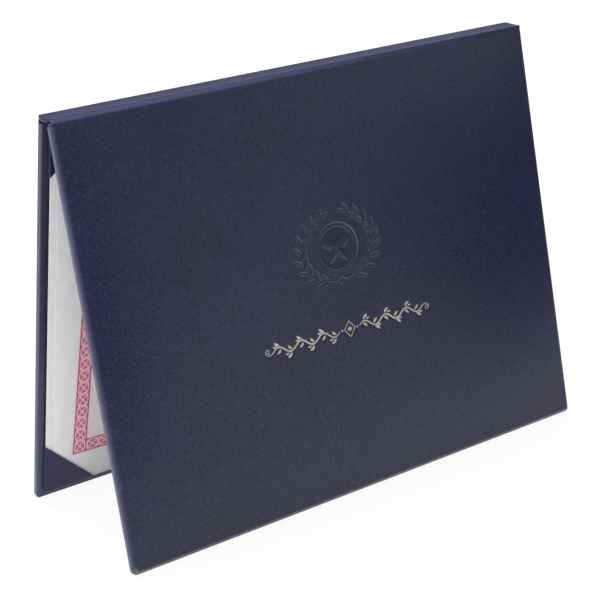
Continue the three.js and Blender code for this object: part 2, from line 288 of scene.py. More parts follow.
class Finish:
    """A material being written: its nodes, the place on the surface and the surface shader."""

    def __init__(self, name):
        self.material = bpy.data.materials.new(name)
        self.material.use_nodes = True
        self.tree = self.material.node_tree
        self.tree.nodes.clear()
        self.place = self.node("ShaderNodeTexCoord", output="Object")

    def node(self, kind, settings=None, inputs=None, output=0):
        return Wire.node(self.tree, kind, settings, inputs, output)

    def noise(self, scale, detail=2.0, roughness=0.5):
        inputs = {"Vector": self.place, "Scale": scale, "Detail": detail, "Roughness": roughness}
        return self.node("ShaderNodeTexNoise", inputs=inputs, output="Fac")

    def cells(self, scale, feature="F1"):
        inputs = {"Vector": self.place, "Scale": scale}
        return self.node("ShaderNodeTexVoronoi", {"feature": feature}, inputs, "Distance")

    def creases(self):
        """Short slanting folds in patches, like those of a soft hide."""
        inputs = {"Vector": self.place, "Rotation": CREASE_SLANT, "Scale": CREASE_SCALE}
        inputs = {"Vector": self.node("ShaderNodeMapping", {"vector_type": "POINT"}, inputs)}
        line = self.node("ShaderNodeTexVoronoi", {"feature": "DISTANCE_TO_EDGE"}, inputs, "Distance")
        patches = self.noise(scale=CREASE_PATCHES).ease(0.5, 0.66)
        return line.ease(0.0, CREASE_WIDTH, 1.0, 0.0) * patches

    def painted(self, name):
        """A value stored on the mesh, which is 0 where a mesh has none."""
        return self.node("ShaderNodeAttribute", {"attribute_name": name}, output="Fac")

    def axes(self):
        """The place on the surface as three values."""
        split = self.node("ShaderNodeSeparateXYZ", inputs={"Vector": self.place})
        return [Wire(output) for output in split.socket.node.outputs]

    def shaded_side_edges(self):
        """1 on the cut edges of a sheet that face left or right, for painted shade there."""
        facing = self.node("ShaderNodeNewGeometry", output="Normal")
        return abs(self.node("ShaderNodeSeparateXYZ", inputs={"Vector": facing})).ease(0.6, 0.9)

    def bump(self, height, distance, strength):
        inputs = {"Height": height, "Distance": distance, "Strength": strength}
        return self.node("ShaderNodeBump", inputs=inputs)

    @staticmethod
    def layers(tone, *coats):
        """Lays coats of (mask, share, colour) over a tone, one after another."""
        for mask, amount, coat in coats:
            tone = (mask * amount).blend(tone, coat)
        return tone

    def surface(self, **values):
        inputs = {key.replace("_", " "): value for key, value in values.items()}
        return self.show(self.node("ShaderNodeBsdfPrincipled", inputs=inputs))

    def show(self, shader):
        self.node("ShaderNodeOutputMaterial", inputs={"Surface": shader})
        return self.material


COVER_GLOSS, POCKET_GLOSS, LINING_GLOSS = 0.5, 0.3, 0.25
LUMINANCE = (0.2126, 0.7152, 0.0722)
# Where most values of a noise lie
SPREAD = (0.3, 0.7)
# Linen threads along the lining and through its slope, in radians per metre
THREADS, SLOPED_THREADS = 5200.0, 1800.0


def shade(tint, amount):
    """The colour made darker or, by more than 1, lighter."""
    return (tint[0] * amount, tint[1] * amount, tint[2] * amount, 1.0)


def greyer(tint, amount):
    """The colour moved towards a grey of its own brightness by a share."""
    grey = sum(weight * c for weight, c in zip(LUMINANCE, tint))
    return (*(c + (grey - c) * amount for c in tint[:3]), 1.0)


def pale(tint, amount):
    """The colour moved towards white by a share."""
    return (*(c + (1.0 - c) * amount for c in tint[:3]), 1.0)


def leatherette_finish(name, tint, gloss):
    """Embossed leatherette: fine grain, slow tone changes, and pressed places, rubbed places with a painted
    sheen, and a painted highlight beside the front fold.
    """
    f = Finish(name)
    grain = f.cells(scale=1500.0, feature="SMOOTH_F1").ease(0.1, 0.75)
    pore = f.noise(scale=2600.0, roughness=0.6)
    fleck = f.noise(scale=760.0, roughness=0.6)
    mottle = f.noise(scale=190.0, detail=3.0, roughness=0.6)
    drift = f.noise(scale=14.0)
    wear_and_sheen_patches = f.noise(scale=500.0).ease(0.2, 0.8, 0.5, 1.0)
    crease = f.creases()
    pressed = f.painted("pressed")
    tone = f.layers(
        drift.ease(*SPREAD).blend(shade(tint, 0.86), shade(tint, 1.14)),
        (mottle.ease(0.35, 0.65), 0.3, greyer(tint, 0.4)),
        # Light flecks: random tone, made grey like glints on the grain, so partly painted glints
        (fleck.ease(0.5, 0.7), 0.9, greyer(shade(tint, 2.1), 0.45)),
        (fleck.ease(0.5, 0.3), 0.8, shade(tint, 0.4)),
        (grain, 0.22, shade(tint, 0.55)),
        # Creases drawn darker: painted shade in their folds
        (crease, 0.5, shade(tint, 0.4)),
        (pressed, 0.5, shade(tint, 0.45)),
        # Paler edges: partly wear, partly a painted sheen where the edges would catch light
        (f.painted("worn") * wear_and_sheen_patches, 0.8, pale(tint, 0.2)),
        # Lips: painted highlight, steep edges of the relief made paler
        (f.painted("lip"), 0.28, pale(tint, 0.16)),
        # Painted highlight: a paler colour beside the front fold, in place of light on it
        (f.painted("drawn"), 1.0, pale(shade(tint, 2.6), 0.045)),
    )
    height = (1 - grain) * 0.6 + pore * 0.2 + fleck * 0.4 - crease * 0.6
    return f.surface(
        Base_Color=tone,
        Roughness=0.27 + grain * 0.05 + pore * 0.05,
        Specular_IOR_Level=gloss,
        Normal=f.bump(height * (1 - pressed * 0.6), distance=0.05 * MM, strength=0.6),
    )


def lining_finish(name, tint):
    """Dark lining paper with a fine linen emboss."""
    f = Finish(name)
    along, deep, up = f.axes()
    weft = (along * THREADS).math("SINE")
    warp = (up * THREADS + deep * SLOPED_THREADS).math("SINE")
    fibre = f.noise(scale=1700.0, detail=3.0, roughness=0.6)
    drift = f.noise(scale=30.0)
    tone = f.layers(
        drift.ease(*SPREAD).blend(shade(tint, 0.85), shade(tint, 1.15)),
        (fibre.ease(0.5, 0.8), 0.3, pale(tint, 0.06)),
    )
    return f.surface(
        Base_Color=tone,
        Roughness=0.72 + fibre * 0.15,
        Specular_IOR_Level=LINING_GLOSS,
        Normal=f.bump(weft * warp * 0.5 + fibre * 0.6, distance=0.04 * MM, strength=0.5),
    )


def greyboard_finish(tint):
    """Pressed grey pulp with darker and lighter fibres."""
    f = Finish("greyboard")
    fibre = f.noise(scale=1100.0, detail=5.0, roughness=0.7)
    fleck = f.noise(scale=420.0)
    tone = f.layers(
        fibre.ease(*SPREAD).blend(shade(tint, 0.8), shade(tint, 1.2)),
        (fleck.ease(0.64, 0.74), 0.6, shade(tint, 0.45)),
    )
    pulp = f.bump(fibre, distance=0.06 * MM, strength=0.6)
    return f.surface(Base_Color=tone, Roughness=0.85 + fibre * 0.1, Normal=pulp)


def foam_finish(tint):
    """Fine open-cell foam."""
    f = Finish("foam")
    cell = f.cells(scale=1500.0)
    drift = f.noise(scale=60.0)
    tone = f.layers(
        cell.ease(0.1, 0.6).blend(shade(tint, 0.8), tint[:]),
        (drift.ease(0.4, 0.7), 0.3, shade(tint, 0.9)),
    )
    pits = f.bump(cell, distance=0.2 * MM, strength=0.7)
    return f.surface(Base_Color=tone, Roughness=0.9 + drift * 0.08, Normal=pits)


def paper_tone(f, tint):
    """Uncoated paper, as its tone and its fibres: cloudy, with a few fibres that show."""
    cloud = f.noise(scale=140.0, detail=4.0, roughness=0.6)
    fibre = f.noise(scale=2100.0, detail=3.0, roughness=0.7)
    tone = f.layers(
        cloud.ease(*SPREAD).blend(shade(tint, 0.97), shade(tint, 1.02)),
        (fibre.ease(0.55, 0.85), 0.12, shade(tint, 0.86)),
    )
    return tone, fibre


def backing_finish(tint):
    """Plain paper."""
    f = Finish("backing_paper")
    tone, fibre = paper_tone(f, tint)
    tooth = f.bump(fibre, distance=0.03 * MM, strength=0.5)
    return f.surface(Base_Color=tone, Roughness=0.78 + fibre * 0.12, Normal=tooth)


# The printed border, in millimetres on the certificate, and a little askew there. Its middle is given along
# the fold and up from the standing edge, and the lift is the place up from that edge that is level with z = 0

BORDER_CENTRE = (1.5, 112.7)
BORDER_LIFT = 0.707
BORDER_TURN = math.radians(2.1)
BORDER_HALF = (124.4, 93.9)
BORDER_WIDTH = 8.03
BORDER_CELLS = (31, 23)
# From the border's edge to the ends of the full rule and of its soft side, and to the full plait
RULE_FULL, RULE_END, PLAIT_FULL = 0.42, 0.672, 1.008
HALO_REACH, HALO_SHARE = 1.3, 0.6
WASH_REACH, WASH_SHARE = 9.0, 0.42
INK_SHARE = 0.9
# Painted shade on the sheet's left and right cut edges, which the lamps at the left would light: its share
# and how dark
EDGE_SHADE_SHARE, EDGE_SHADE_TONE = 0.6, 0.45

# The plait, in cells along the border and border widths across it

STRAND_SWING = 0.27
STRAND_FULL, STRAND_END = 0.0301, 0.0559
RING_HALF = (0.44, 0.37)


def ring_line(a, c):
    """Distance from a long rounded ring round the middle of a cell."""
    across = abs(c) / RING_HALF[1]
    along = a / RING_HALF[0]
    cube = along * along * along + across * across * across
    return abs(cube.math("POWER", 1 / 3) - 1.0) * RING_HALF[1]


def plait(a, c):
    """A row of rings strung on two strands that cross in the middle of each."""
    wave = (a * math.pi).math("SINE") * STRAND_SWING
    slope = (a * math.pi).math("COSINE") * (STRAND_SWING * math.pi)
    lean = (slope * slope + 1.0).math("SQRT")
    over = abs(c - wave) / lean
    under = abs(c + wave) / lean
    near = over.math("MINIMUM", under).math("MINIMUM", ring_line(abs(a), c))
    return near.ease(STRAND_FULL, STRAND_END, 1.0, 0.0)


def along_cell(line, half, count):
    """The place along one of the cells of a side, from its middle."""
    return (line / (2 * half / count) + 0.5).math("FRACT") - 0.5


def certificate_finish(colours, lean):
    """Paper with a plaited border between two rules, in a soft tint, and painted shade on its side edges."""
    f = Finish("certificate_paper")
    paper, fibre = paper_tone(f, colours.paper)
    along, _, up = f.axes()
    flat_x = along * (1 / MM) - BORDER_CENTRE[0]
    flat_s = up * (1 / MM / math.cos(lean)) + (BORDER_LIFT - BORDER_CENTRE[1])
    x = flat_x * math.cos(BORDER_TURN) - flat_s * math.sin(BORDER_TURN)
    s = flat_x * math.sin(BORDER_TURN) + flat_s * math.cos(BORDER_TURN)
    outer_x, outer_s = BORDER_HALF
    inner_x, inner_s = outer_x - BORDER_WIDTH, outer_s - BORDER_WIDTH
    outside = (abs(x) - outer_x).math("MAXIMUM", abs(s) - outer_s)
    inside = (abs(x) - inner_x).math("MAXIMUM", abs(s) - inner_s)
    upright = abs(x) > inner_x
    cell_x = along_cell(x, inner_x, BORDER_CELLS[0])
    cell_s = along_cell(s, inner_s, BORDER_CELLS[1])
    across_x = (outer_x - abs(x)) / BORDER_WIDTH - 0.5
    across_s = (outer_s - abs(s)) / BORDER_WIDTH - 0.5
    a = upright * cell_s + (1.0 - upright) * cell_x
    c = upright * across_x + (1.0 - upright) * across_s
    edge = outside.math("MAXIMUM", inside * -1.0)
    rule = edge.ease(-RULE_END, -RULE_FULL)
    strand = plait(a, c) * edge.ease(-PLAIT_FULL, -RULE_END, 1.0, 0.0)
    ink = strand.blend(rule.blend(colours.print_ground[:], colours.print_line[:]), colours.print_strand[:])
    halo = outside.ease(0.0, HALO_REACH, HALO_SHARE, 0.0) * (outside > 0.0)
    wash = inside.ease(-WASH_REACH, 0.0, 0.0, WASH_SHARE) * (inside < 0.0)
    tone = f.layers(
        paper,
        (halo + wash, 1.0, pale(colours.print_strand, 0.1)),
        ((outside < 0.0) * (inside > 0.0), INK_SHARE + fibre * (1.0 - INK_SHARE), ink),
        # Painted shade on the cut edges that face left or right
        (f.shaded_side_edges(), EDGE_SHADE_SHARE, shade(colours.paper, EDGE_SHADE_TONE)),
    )
    tooth = f.bump(fibre, distance=0.03 * MM, strength=0.4)
    return f.surface(Base_Color=tone, Roughness=0.62 + fibre * 0.15, Normal=tooth)


def foil_finish(tint):
    """Stamped metal foil that has taken a little of the grain below it."""
    f = Finish("gold_foil")
    grain = f.cells(scale=1150.0, feature="SMOOTH_F1")
    patch = f.noise(scale=700.0, detail=3.0, roughness=0.6)
    return f.surface(
        Base_Color=patch.ease(*SPREAD).blend(shade(tint, 0.68), pale(tint, 0.08)),
        Metallic=1.0,
        Roughness=0.34 + patch * 0.16,
        Normal=f.bump(1 - grain, distance=0.05 * MM, strength=0.5),
    )


# Meshes

SHARP = math.radians(35.0)


def add_piece(name, points, faces, materials, face_slots=None):
    """A mesh object with outward faces, smooth except where it turns sharply."""
    mesh = bpy.data.meshes.new(name)
    mesh.from_pydata(np.asarray(points).tolist(), [], faces)
    for material in materials:
        mesh.materials.append(material)
    if face_slots is not None:
        mesh.polygons.foreach_set("material_index", face_slots)
    work = bmesh.new()
    work.from_mesh(mesh)
    bmesh.ops.recalc_face_normals(work, faces=work.faces)
    work.to_mesh(mesh)
    work.free()
    mesh.shade_smooth()
    mesh.set_sharp_from_angle(angle=SHARP)
    piece = bpy.data.objects.new(name, mesh)
    bpy.context.scene.collection.objects.link(piece)
    return piece


def paint(piece, name, values):
    """Stores a value for each point of a mesh, for its material to read."""
    layer = piece.data.attributes.new(name, "FLOAT", "POINT")
    layer.data.foreach_set("value", np.asarray(values, np.float32))


def bridge(first, second, closed=True):
    """Quads between two rows of points, given by their numbers."""
    count = len(first) if closed else len(first) - 1
    ends = [(i, (i + 1) % len(first)) for i in range(count)]
    return [(first[a], first[b], second[b], second[a]) for a, b in ends]


def smooth_step(low, high, value):
    """Runs smoothly from 0 to 1 as the value goes from low to high."""
    t = np.clip((value - low) / (high - low), 0.0, 1.0)
    return t * t * (3.0 - 2.0 * t)


def ridge(value, centre, width):
    """A soft bump of height 1."""
    return np.exp(-(((value - centre) / width) ** 2))


# The padding: how steeply its crown rises, and its slow waves in radians per metre and at the origin

CROWN_POWER = 3
WAVE_X, WAVE_X_START = 83.0, 1.3
WAVE_S, WAVE_S_START = 97.0, 0.4
CROSS_WAVE_X, CROSS_WAVE_S, CROSS_WAVE_SHARE = 171.0, 139.0, 0.6


class CoverPlane:
    """A cover's own plane: x along the fold, s up from its standing edge, n out of the cover."""

    def __init__(self, sizes, toward):
        self.sizes = sizes
        self.toward = toward
        self.cos = math.cos(sizes.lean)
        self.sin = math.sin(sizes.lean)
        self.drop = sizes.inner_radius * (self.cos + self.sin - 1.0) + sizes.foot_flat
        self.foot = sizes.spine_width / 2 + sizes.height * self.sin - sizes.thickness * self.cos
        self.top = sizes.height - sizes.hinge_gap

    def at(self, x, s, n):
        """Places on the cover, in the frame of the solids."""
        x, s, n = np.broadcast_arrays(x, s, n)
        y = self.foot - s * self.sin + n * self.cos
        z = s * self.cos + n * self.sin - self.drop
        return np.stack([x, self.toward * y, z], axis=-1)

    def swell(self, x, s):
        """Height of the padding's crown over its edge."""
        z = self.sizes
        half = z.width / 2 - z.edge_radius
        total = np.ones(np.broadcast(x, s).shape)
        for depth in (half - x, half + x, s - z.edge_radius, self.top - s):
            total = total * (1.0 - (1.0 - np.clip(depth / z.crown_reach, 0.0, 1.0)) ** CROWN_POWER)
        wave = np.sin(x * WAVE_X + WAVE_X_START) * np.sin(s * WAVE_S + WAVE_S_START)
        cross_wave = CROSS_WAVE_SHARE * np.sin(x * CROSS_WAVE_X - s * CROSS_WAVE_S)
        return total * (z.crown + z.unevenness * (wave + cross_wave))


class Patchwork:
    """The lines of a rectangle inside a cover, and rings of as many points round it."""

    def __init__(self, xs, ss):
        self.xs = xs
        self.ss = ss
        columns, rows = len(xs), len(ss)
        grid = np.arange(columns * rows).reshape(rows, columns)
        self.grid = grid
        self.rim = np.concatenate([grid[0], grid[1:, -1], grid[-1, -2::-1], grid[-2:0:-1, 0]])
        u = (xs - xs[0]) / (xs[-1] - xs[0])
        v = (ss - ss[0]) / (ss[-1] - ss[0])
        one_u, one_v = np.ones(columns), np.ones(rows)
        self.across = np.concatenate([u, one_v[1:], u[-2::-1], 0 * one_v[-2:0:-1]])
        self.up = np.concatenate([0 * one_u, v[1:], one_u[-2::-1], v[-2:0:-1]])

    def points(self):
        """Every crossing of the lines, row by row."""
        x, s = np.meshgrid(self.xs, self.ss)
        return x.ravel(), s.ravel()

    def faces(self):
        g = self.grid
        return np.stack([g[:-1, :-1], g[:-1, 1:], g[1:, 1:], g[1:, :-1]], axis=-1).reshape(-1, 4).tolist()

    def outline(self, left, right, low, high, low_radius, high_radius):
        """The rim carried out to a rectangle with rounded corners."""
        x = left + self.across * (right - left)
        s = low + self.up * (high - low)
        flat = (self.up == 0.0) | (self.up == 1.0)
        for corner_x, inward in ((left, 1.0), (right, -1.0)):
            for corner_s, upward, radius in ((low, 1.0, low_radius), (high, -1.0, high_radius)):
                a, b = abs(x - corner_x), abs(s - corner_s)
                near = (a < radius) & (b < radius)
                turn = (1.0 - np.maximum(a, b) / radius) * math.pi / 4
                along = radius * (1.0 - np.sin(turn))
                off = radius * (1.0 - np.cos(turn))
                x = np.where(near, corner_x + inward * np.where(flat, along, off), x)
                s = np.where(near, corner_s + upward * np.where(flat, off, along), s)
        return x, s


# Rings of the covers' skins and padding, and how far the inside of a skin is drawn in where it closes

CROWN_RINGS, INSIDE_CROWN_RINGS = 13, 4
CROWN_SPACING = 1.7
EDGE_RINGS = 8
INNER_RINGS = 5
LEAST_CORNER = 0.3 * MM
CLOSING_SHARE = 0.99
PADDING_BASE = 2.35 * MM
PADDING_STEPS = (0.0, 0.1, 0.25, 0.5, 1.0)

# Wear and painted light on the edges: rubbing with a painted sheen at the standing corners, a painted sheen
# along the front's outer edges, and rubbing with painted light along the inner edges

WEAR_AND_SHEEN_REACH = (2.4 * MM, 4.5 * MM)
WEAR_AND_SHEEN_ANGLE, WEAR_AND_SHEEN_SPREAD = math.radians(62.0), math.radians(32.0)
SIDE_SHEEN, SIDE_SHEEN_SPREAD = 0.17, math.radians(45.0)
INNER_WEAR_AND_LIGHT = 0.2

# Painted highlight beside the front fold, a paler leatherette colour in place of light there: how much,
# how far down, from where to where along x, and from which turn of the bend on

FOLD_HIGHLIGHT = 0.9
FOLD_HIGHLIGHT_REACH = 0.95 * MM
FOLD_HIGHLIGHT_ALONG = (-100 * MM, 140 * MM)
FOLD_HIGHLIGHT_TURN = (0.3, 0.9)


def fold_highlight_share(toward, x):
    """Share of the painted highlight along a fold, a paler colour in place of light: the front one, most at
    its left end.
    """
    amount = FOLD_HIGHLIGHT if toward == FRONT else 0.0
    return amount * smooth_step(FOLD_HIGHLIGHT_ALONG[1], FOLD_HIGHLIGHT_ALONG[0], x)


def cover_ring(plane, patch, inset, fold_inset):
    """The cover's outline drawn in from its free edges and, apart from that, from the fold."""
    z = plane.sizes
    half = z.width / 2 - inset
    low_radius = max(z.corner_radius - inset, LEAST_CORNER)
    return patch.outline(-half, half, inset, plane.top - fold_inset, low_radius, z.fold_corner)


def skin_side(plane, patch, offset, crown_rings, lip=0.0):
    """Rings of one side of a cover's skin, from the patch out and round to the turn-in's end."""
    z = plane.sizes
    rings = []
    start = [line[patch.rim] for line in patch.points()]
    end = cover_ring(plane, patch, z.edge_radius, offset - lip)
    for step in range(1, crown_rings + 1):
        t = 1.0 - (1.0 - step / crown_rings) ** CROWN_SPACING
        x = start[0] + (end[0] - start[0]) * t
        s = start[1] + (end[1] - start[1]) * t
        rings.append((x, s, z.thickness - offset + plane.swell(x, s), 0.0))
    radius = z.edge_radius - offset
    centre = z.thickness - z.edge_radius
    # Painted sheen on the front cover's outer sides, in place of light on them; none on the rear
    side_sheen = SIDE_SHEEN if plane.toward == FRONT else 0.0
    for step in range(1, EDGE_RINGS + 1):
        angle = (1.0 - step / EDGE_RINGS) * math.pi / 2
        x, s = cover_ring(plane, patch, z.edge_radius - radius * math.cos(angle), offset - lip)
        # Wear with a painted sheen on the rounded edge near the standing corners
        wear_and_sheen = ridge(angle, WEAR_AND_SHEEN_ANGLE, WEAR_AND_SHEEN_SPREAD) * smooth_step(WEAR_AND_SHEEN_REACH[1], WEAR_AND_SHEEN_REACH[0], s)
        wear_and_sheen = np.maximum(wear_and_sheen, side_sheen * ridge(angle, 0.0, SIDE_SHEEN_SPREAD))
        rings.append((x, s, centre + radius * math.sin(angle), wear_and_sheen))
    if lip:
        rings.append((*cover_ring(plane, patch, offset, offset), centre, wear_and_sheen))
    radius = z.inner_radius - offset
    for step in range(INNER_RINGS + 1):
        angle = step / INNER_RINGS * math.pi / 2
        ring = cover_ring(plane, patch, z.inner_radius - radius * math.cos(angle), offset)
        # Inner edges made paler: partly wear, partly painted light
        rings.append((*ring, z.inner_radius - radius * math.sin(angle), INNER_WEAR_AND_LIGHT))
    for inset in (z.turn_in / 2, z.turn_in):
        rings.append((*cover_ring(plane, patch, inset, inset), offset, 0.0))
    return rings


def cover_skin(plane, patch, depth, hollow):
    """The leatherette stretched over one cover: points, faces, where it is worn and has a painted sheen, and
    where a highlight is painted beside the fold.
    """
    z = plane.sizes
    x, s = patch.points()
    rings = skin_side(plane, patch, 0.0, CROWN_RINGS, z.fold_lip)
    rings += reversed(skin_side(plane, patch, z.skin, INSIDE_CROWN_RINGS))
    edge_x, edge_s = x[patch.rim], s[patch.rim]
    level = z.thickness - z.skin + plane.swell(edge_x, edge_s)
    rings.append((edge_x, edge_s, level, 0.0))
    rings.append((drawn_in(edge_x), drawn_in(edge_s), level - hollow, 0.0))
    points = [plane.at(x, s, z.thickness + plane.swell(x, s) + depth)]
    worn, drawn = [np.zeros(len(x))], [np.zeros(len(x))]
    faces = patch.faces()
    row = patch.rim
    used = len(x)
    for ring_x, ring_s, n, wear_and_sheen in rings:
        points.append(plane.at(ring_x, ring_s, n))
        worn.append(np.broadcast_to(wear_and_sheen, len(ring_x)))
        # Painted highlight beside the front fold, strongest at its left end
        near_fold = smooth_step(FOLD_HIGHLIGHT_REACH, 0.0, plane.top + z.fold_lip - ring_s)
        drawn.append(fold_highlight_share(plane.toward, ring_x) * near_fold)
        fresh = np.arange(used, used + len(ring_x))
        faces += bridge(row.tolist(), fresh.tolist())
        row = fresh
        used += len(fresh)
    faces.append(row.tolist())
    points = np.concatenate(points)
    points[:, 2] = np.maximum(points[:, 2], 0.0)
    return points, faces, np.concatenate(worn), np.concatenate(drawn)


def drawn_in(line):
    """Numbers moved a little towards their middle."""
    middle = (line.min() + line.max()) / 2
    return middle + (line - middle) * CLOSING_SHARE


def cover_padding(plane, patch, hollow):
    """Points and faces of the foam between a board and its skin: crowned, with rounded sides."""
    z = plane.sizes
    gap = z.skin + GLUE
    radius = z.edge_radius - gap - GLUE
    centre = z.thickness - z.edge_radius
    rings = [(*cover_ring(plane, patch, z.edge_radius - radius, gap), PADDING_BASE)]
    for step in range(EDGE_RINGS):
        angle = step / EDGE_RINGS * math.pi / 2
        ring = cover_ring(plane, patch, z.edge_radius - radius * math.cos(angle), gap)
        rings.append((*ring, centre + radius * math.sin(angle)))
    start = cover_ring(plane, patch, z.edge_radius, gap)
    end = [line[patch.rim] for line in patch.points()]
    for t in PADDING_STEPS:
        x = start[0] + (end[0] - start[0]) * t
        s = start[1] + (end[1] - start[1]) * t
        rings.append((x, s, centre + radius + plane.swell(x, s)))
    x, s = drawn_in(end[0]), drawn_in(end[1])
    rings.append((x, s, centre + radius + plane.swell(x, s) - hollow))
    count = len(patch.rim)
    numbers = np.arange(count * len(rings)).reshape(len(rings), count).tolist()
    faces = [numbers[0], numbers[-1]]
    for first, second in zip(numbers, numbers[1:]):
        faces += bridge(first, second)
    return np.concatenate([plane.at(*ring) for ring in rings]), faces


def line_up(*bands):
    """Rising numbers through bands of (start, end, step), in millimetres, as metres."""
    parts = [np.linspace(a, b, max(2, round((b - a) / step) + 1)) for a, b, step in bands]
    joined = np.unique(np.round(np.concatenate(parts), 4))
    return joined * MM


# The pressed motif: a star in a medallion between two laurel branches, in millimetres from its centre and,
# for its relief, in shares of its depth

MOTIF_HALF = (31.0, 24.0)
LAUREL_RX, LAUREL_RS = 22.2, 18.2
LAUREL_STATIONS = 9
LAUREL_FROM, LAUREL_TO = -68.0, 62.0
STEM_FROM, STEM_ENDS = -86.0, (4.0, 5.0)
STEM_DEPTH, STEM_EDGE = 0.7, (0.65, 0.2)
# Turn from the stem, length and width of a leaf
OUTER_LEAF = (-0.62, 8.4, 3.2)
INNER_LEAF = (0.55, 6.0, 2.6)
TIP_LEAF = (0.0, 6.2, 2.4)
TIP_BEYOND = 4.0
LEAF_FADE = 0.25
LEAF_START = 0.5
LEAF_DEPTH, LEAF_EDGE = 0.8, (0.35, -0.3)
RIB_RISE, RIB_EDGE, RIB_END = 0.5, (0.5, 0.1), (0.0, -0.4)
LEAF_LIP, LEAF_LIP_AT, LEAF_LIP_WIDTH = 0.22, 0.55, 0.4
TIE_HALF = (3.4, 2.3)
TIE_REACH = 0.35
TIE_DEPTH, TIE_EDGE = 0.85, (0.3, 0.0)
TIE_RISE, TIE_TOP = 0.6, (-0.3, -0.6)
MEDALLION, MEDALLION_REACH, MEDALLION_EDGE = 13.0, 1.6, 0.3
RING_RISE, RING_INSET, RING_WIDTH = 0.55, 1.5, 0.35
DISC_LIP, DISC_LIP_AT, DISC_LIP_WIDTH = 0.15, 0.8, 0.4
STAR_POINTS = 5
STAR_OUT, STAR_IN = 9.6, 4.0
STAR_RISE, STAR_EDGE = 0.55, 0.25
STAR_SLOPE, SPOKE_SLOPE = 0.16, 0.1
# The slope from which an edge of the relief shows as a lip: a painted highlight, a paler colour on its steep
# edges
LIP_SLOPE = 0.35
FAR = 99.0


def leaf_distance(x, y, long, wide):
    """Distance to a pointed leaf that starts at the origin and runs along x."""
    half, waist = long / 2, wide / 2
    radius = (half * half + waist * waist) / (2 * waist)
    shift = radius - waist
    return np.hypot(x - half, np.abs(y) + shift) - radius


def star_distance(x, y):
    """Distance to a star with one point up, and from the spoke to its nearest point."""
    angle = np.arctan2(x, y)
    sector = 2 * math.pi / STAR_POINTS
    folded = np.abs((angle + sector / 2) % sector - sector / 2)
    radius = np.hypot(x, y)
    px, py = radius * np.cos(folded), radius * np.sin(folded)
    ax, ay = STAR_IN * math.cos(sector / 2), STAR_IN * math.sin(sector / 2)
    ex, ey = ax - STAR_OUT, ay
    return ((px - STAR_OUT) * ey - py * ex) / math.hypot(ex, ey), py


def stem_at(side, degrees):
    """A place on the stem of a branch, and the heading there."""
    angle = math.radians(degrees)
    x, y = side * LAUREL_RX * math.cos(angle), LAUREL_RS * math.sin(angle)
    return x, y, math.atan2(LAUREL_RS * math.cos(angle), -side * LAUREL_RX * math.sin(angle))


def laurel_leaves():
    """Start, heading, length and width of every leaf of both branches."""
    for side in (-1, 1):
        for station in range(LAUREL_STATIONS):
            t = station / (LAUREL_STATIONS - 1)
            x, y, heading = stem_at(side, LAUREL_FROM + t * (LAUREL_TO - LAUREL_FROM))
            fade = 1.0 - LEAF_FADE * t
            for turn, long, wide in (OUTER_LEAF, INNER_LEAF):
                yield x, y, heading + side * turn, long * fade, wide * fade
        x, y, heading = stem_at(side, LAUREL_TO + TIP_BEYOND)
        turn, long, wide = TIP_LEAF
        yield x, y, heading + side * turn, long, wide


def laurel_relief(x, y):
    """Relief of the two branches and of the tie between them."""
    leaf = np.full(x.shape, FAR)
    rib = np.full(x.shape, FAR)
    for at_x, at_y, heading, long, wide in laurel_leaves():
        c, s = math.cos(heading), math.sin(heading)
        px = (x - at_x) * c + (y - at_y) * s - LEAF_START
        py = (y - at_y) * c - (x - at_x) * s
        distance = leaf_distance(px, py, long, wide)
        rib = np.where(distance < leaf, np.abs(py), rib)
        leaf = np.minimum(leaf, distance)
    relief = -LEAF_DEPTH * smooth_step(*LEAF_EDGE, leaf)
    relief += RIB_RISE * smooth_step(*RIB_EDGE, rib) * smooth_step(*RIB_END, leaf)
    relief += LEAF_LIP * ridge(leaf, LEAF_LIP_AT, LEAF_LIP_WIDTH)
    stem = np.abs(np.sqrt((x / LAUREL_RX) ** 2 + (y / LAUREL_RS) ** 2) - 1.0) * LAUREL_RS
    angle = np.degrees(np.arctan2(y / LAUREL_RS, np.abs(x) / LAUREL_RX))
    on_stem = smooth_step(STEM_FROM, STEM_FROM + STEM_ENDS[0], angle)
    on_stem = on_stem * smooth_step(LAUREL_TO + STEM_ENDS[1], LAUREL_TO, angle)
    relief = np.minimum(relief, -STEM_DEPTH * smooth_step(*STEM_EDGE, stem) * on_stem)
    tie = np.abs(x) / TIE_HALF[0] + np.abs(y + LAUREL_RS) / TIE_HALF[1] - 1.0
    knot = TIE_RISE * smooth_step(*TIE_TOP, tie) - TIE_DEPTH * smooth_step(*TIE_EDGE, tie)
    return np.where(tie < TIE_REACH, knot, relief)


def medallion_relief(x, y):
    """Relief of the sunk disc, of the ring near its edge and of the star in its middle."""
    radius = np.hypot(x, y)
    disc = -smooth_step(MEDALLION + MEDALLION_EDGE, MEDALLION - MEDALLION_EDGE, radius)
    disc += RING_RISE * ridge(radius, MEDALLION - RING_INSET, RING_WIDTH)
    disc += DISC_LIP * ridge(radius, MEDALLION + DISC_LIP_AT, DISC_LIP_WIDTH)
    star, spoke = star_distance(x, y)
    facet = np.clip(STAR_RISE - STAR_SLOPE * star - SPOKE_SLOPE * spoke, 0.0, 1.0)
    return disc + smooth_step(STAR_EDGE, -STAR_EDGE, star) * facet


def motif_relief(x, y):
    """Relief of the motif as a share of its depth: -1 is pressed all the way in."""
    on_disc = np.hypot(x, y) < MEDALLION + MEDALLION_REACH
    return np.where(on_disc, medallion_relief(x, y), laurel_relief(x, y))


# The foil line: a lozenge between two running vines, in millimetres from its centre

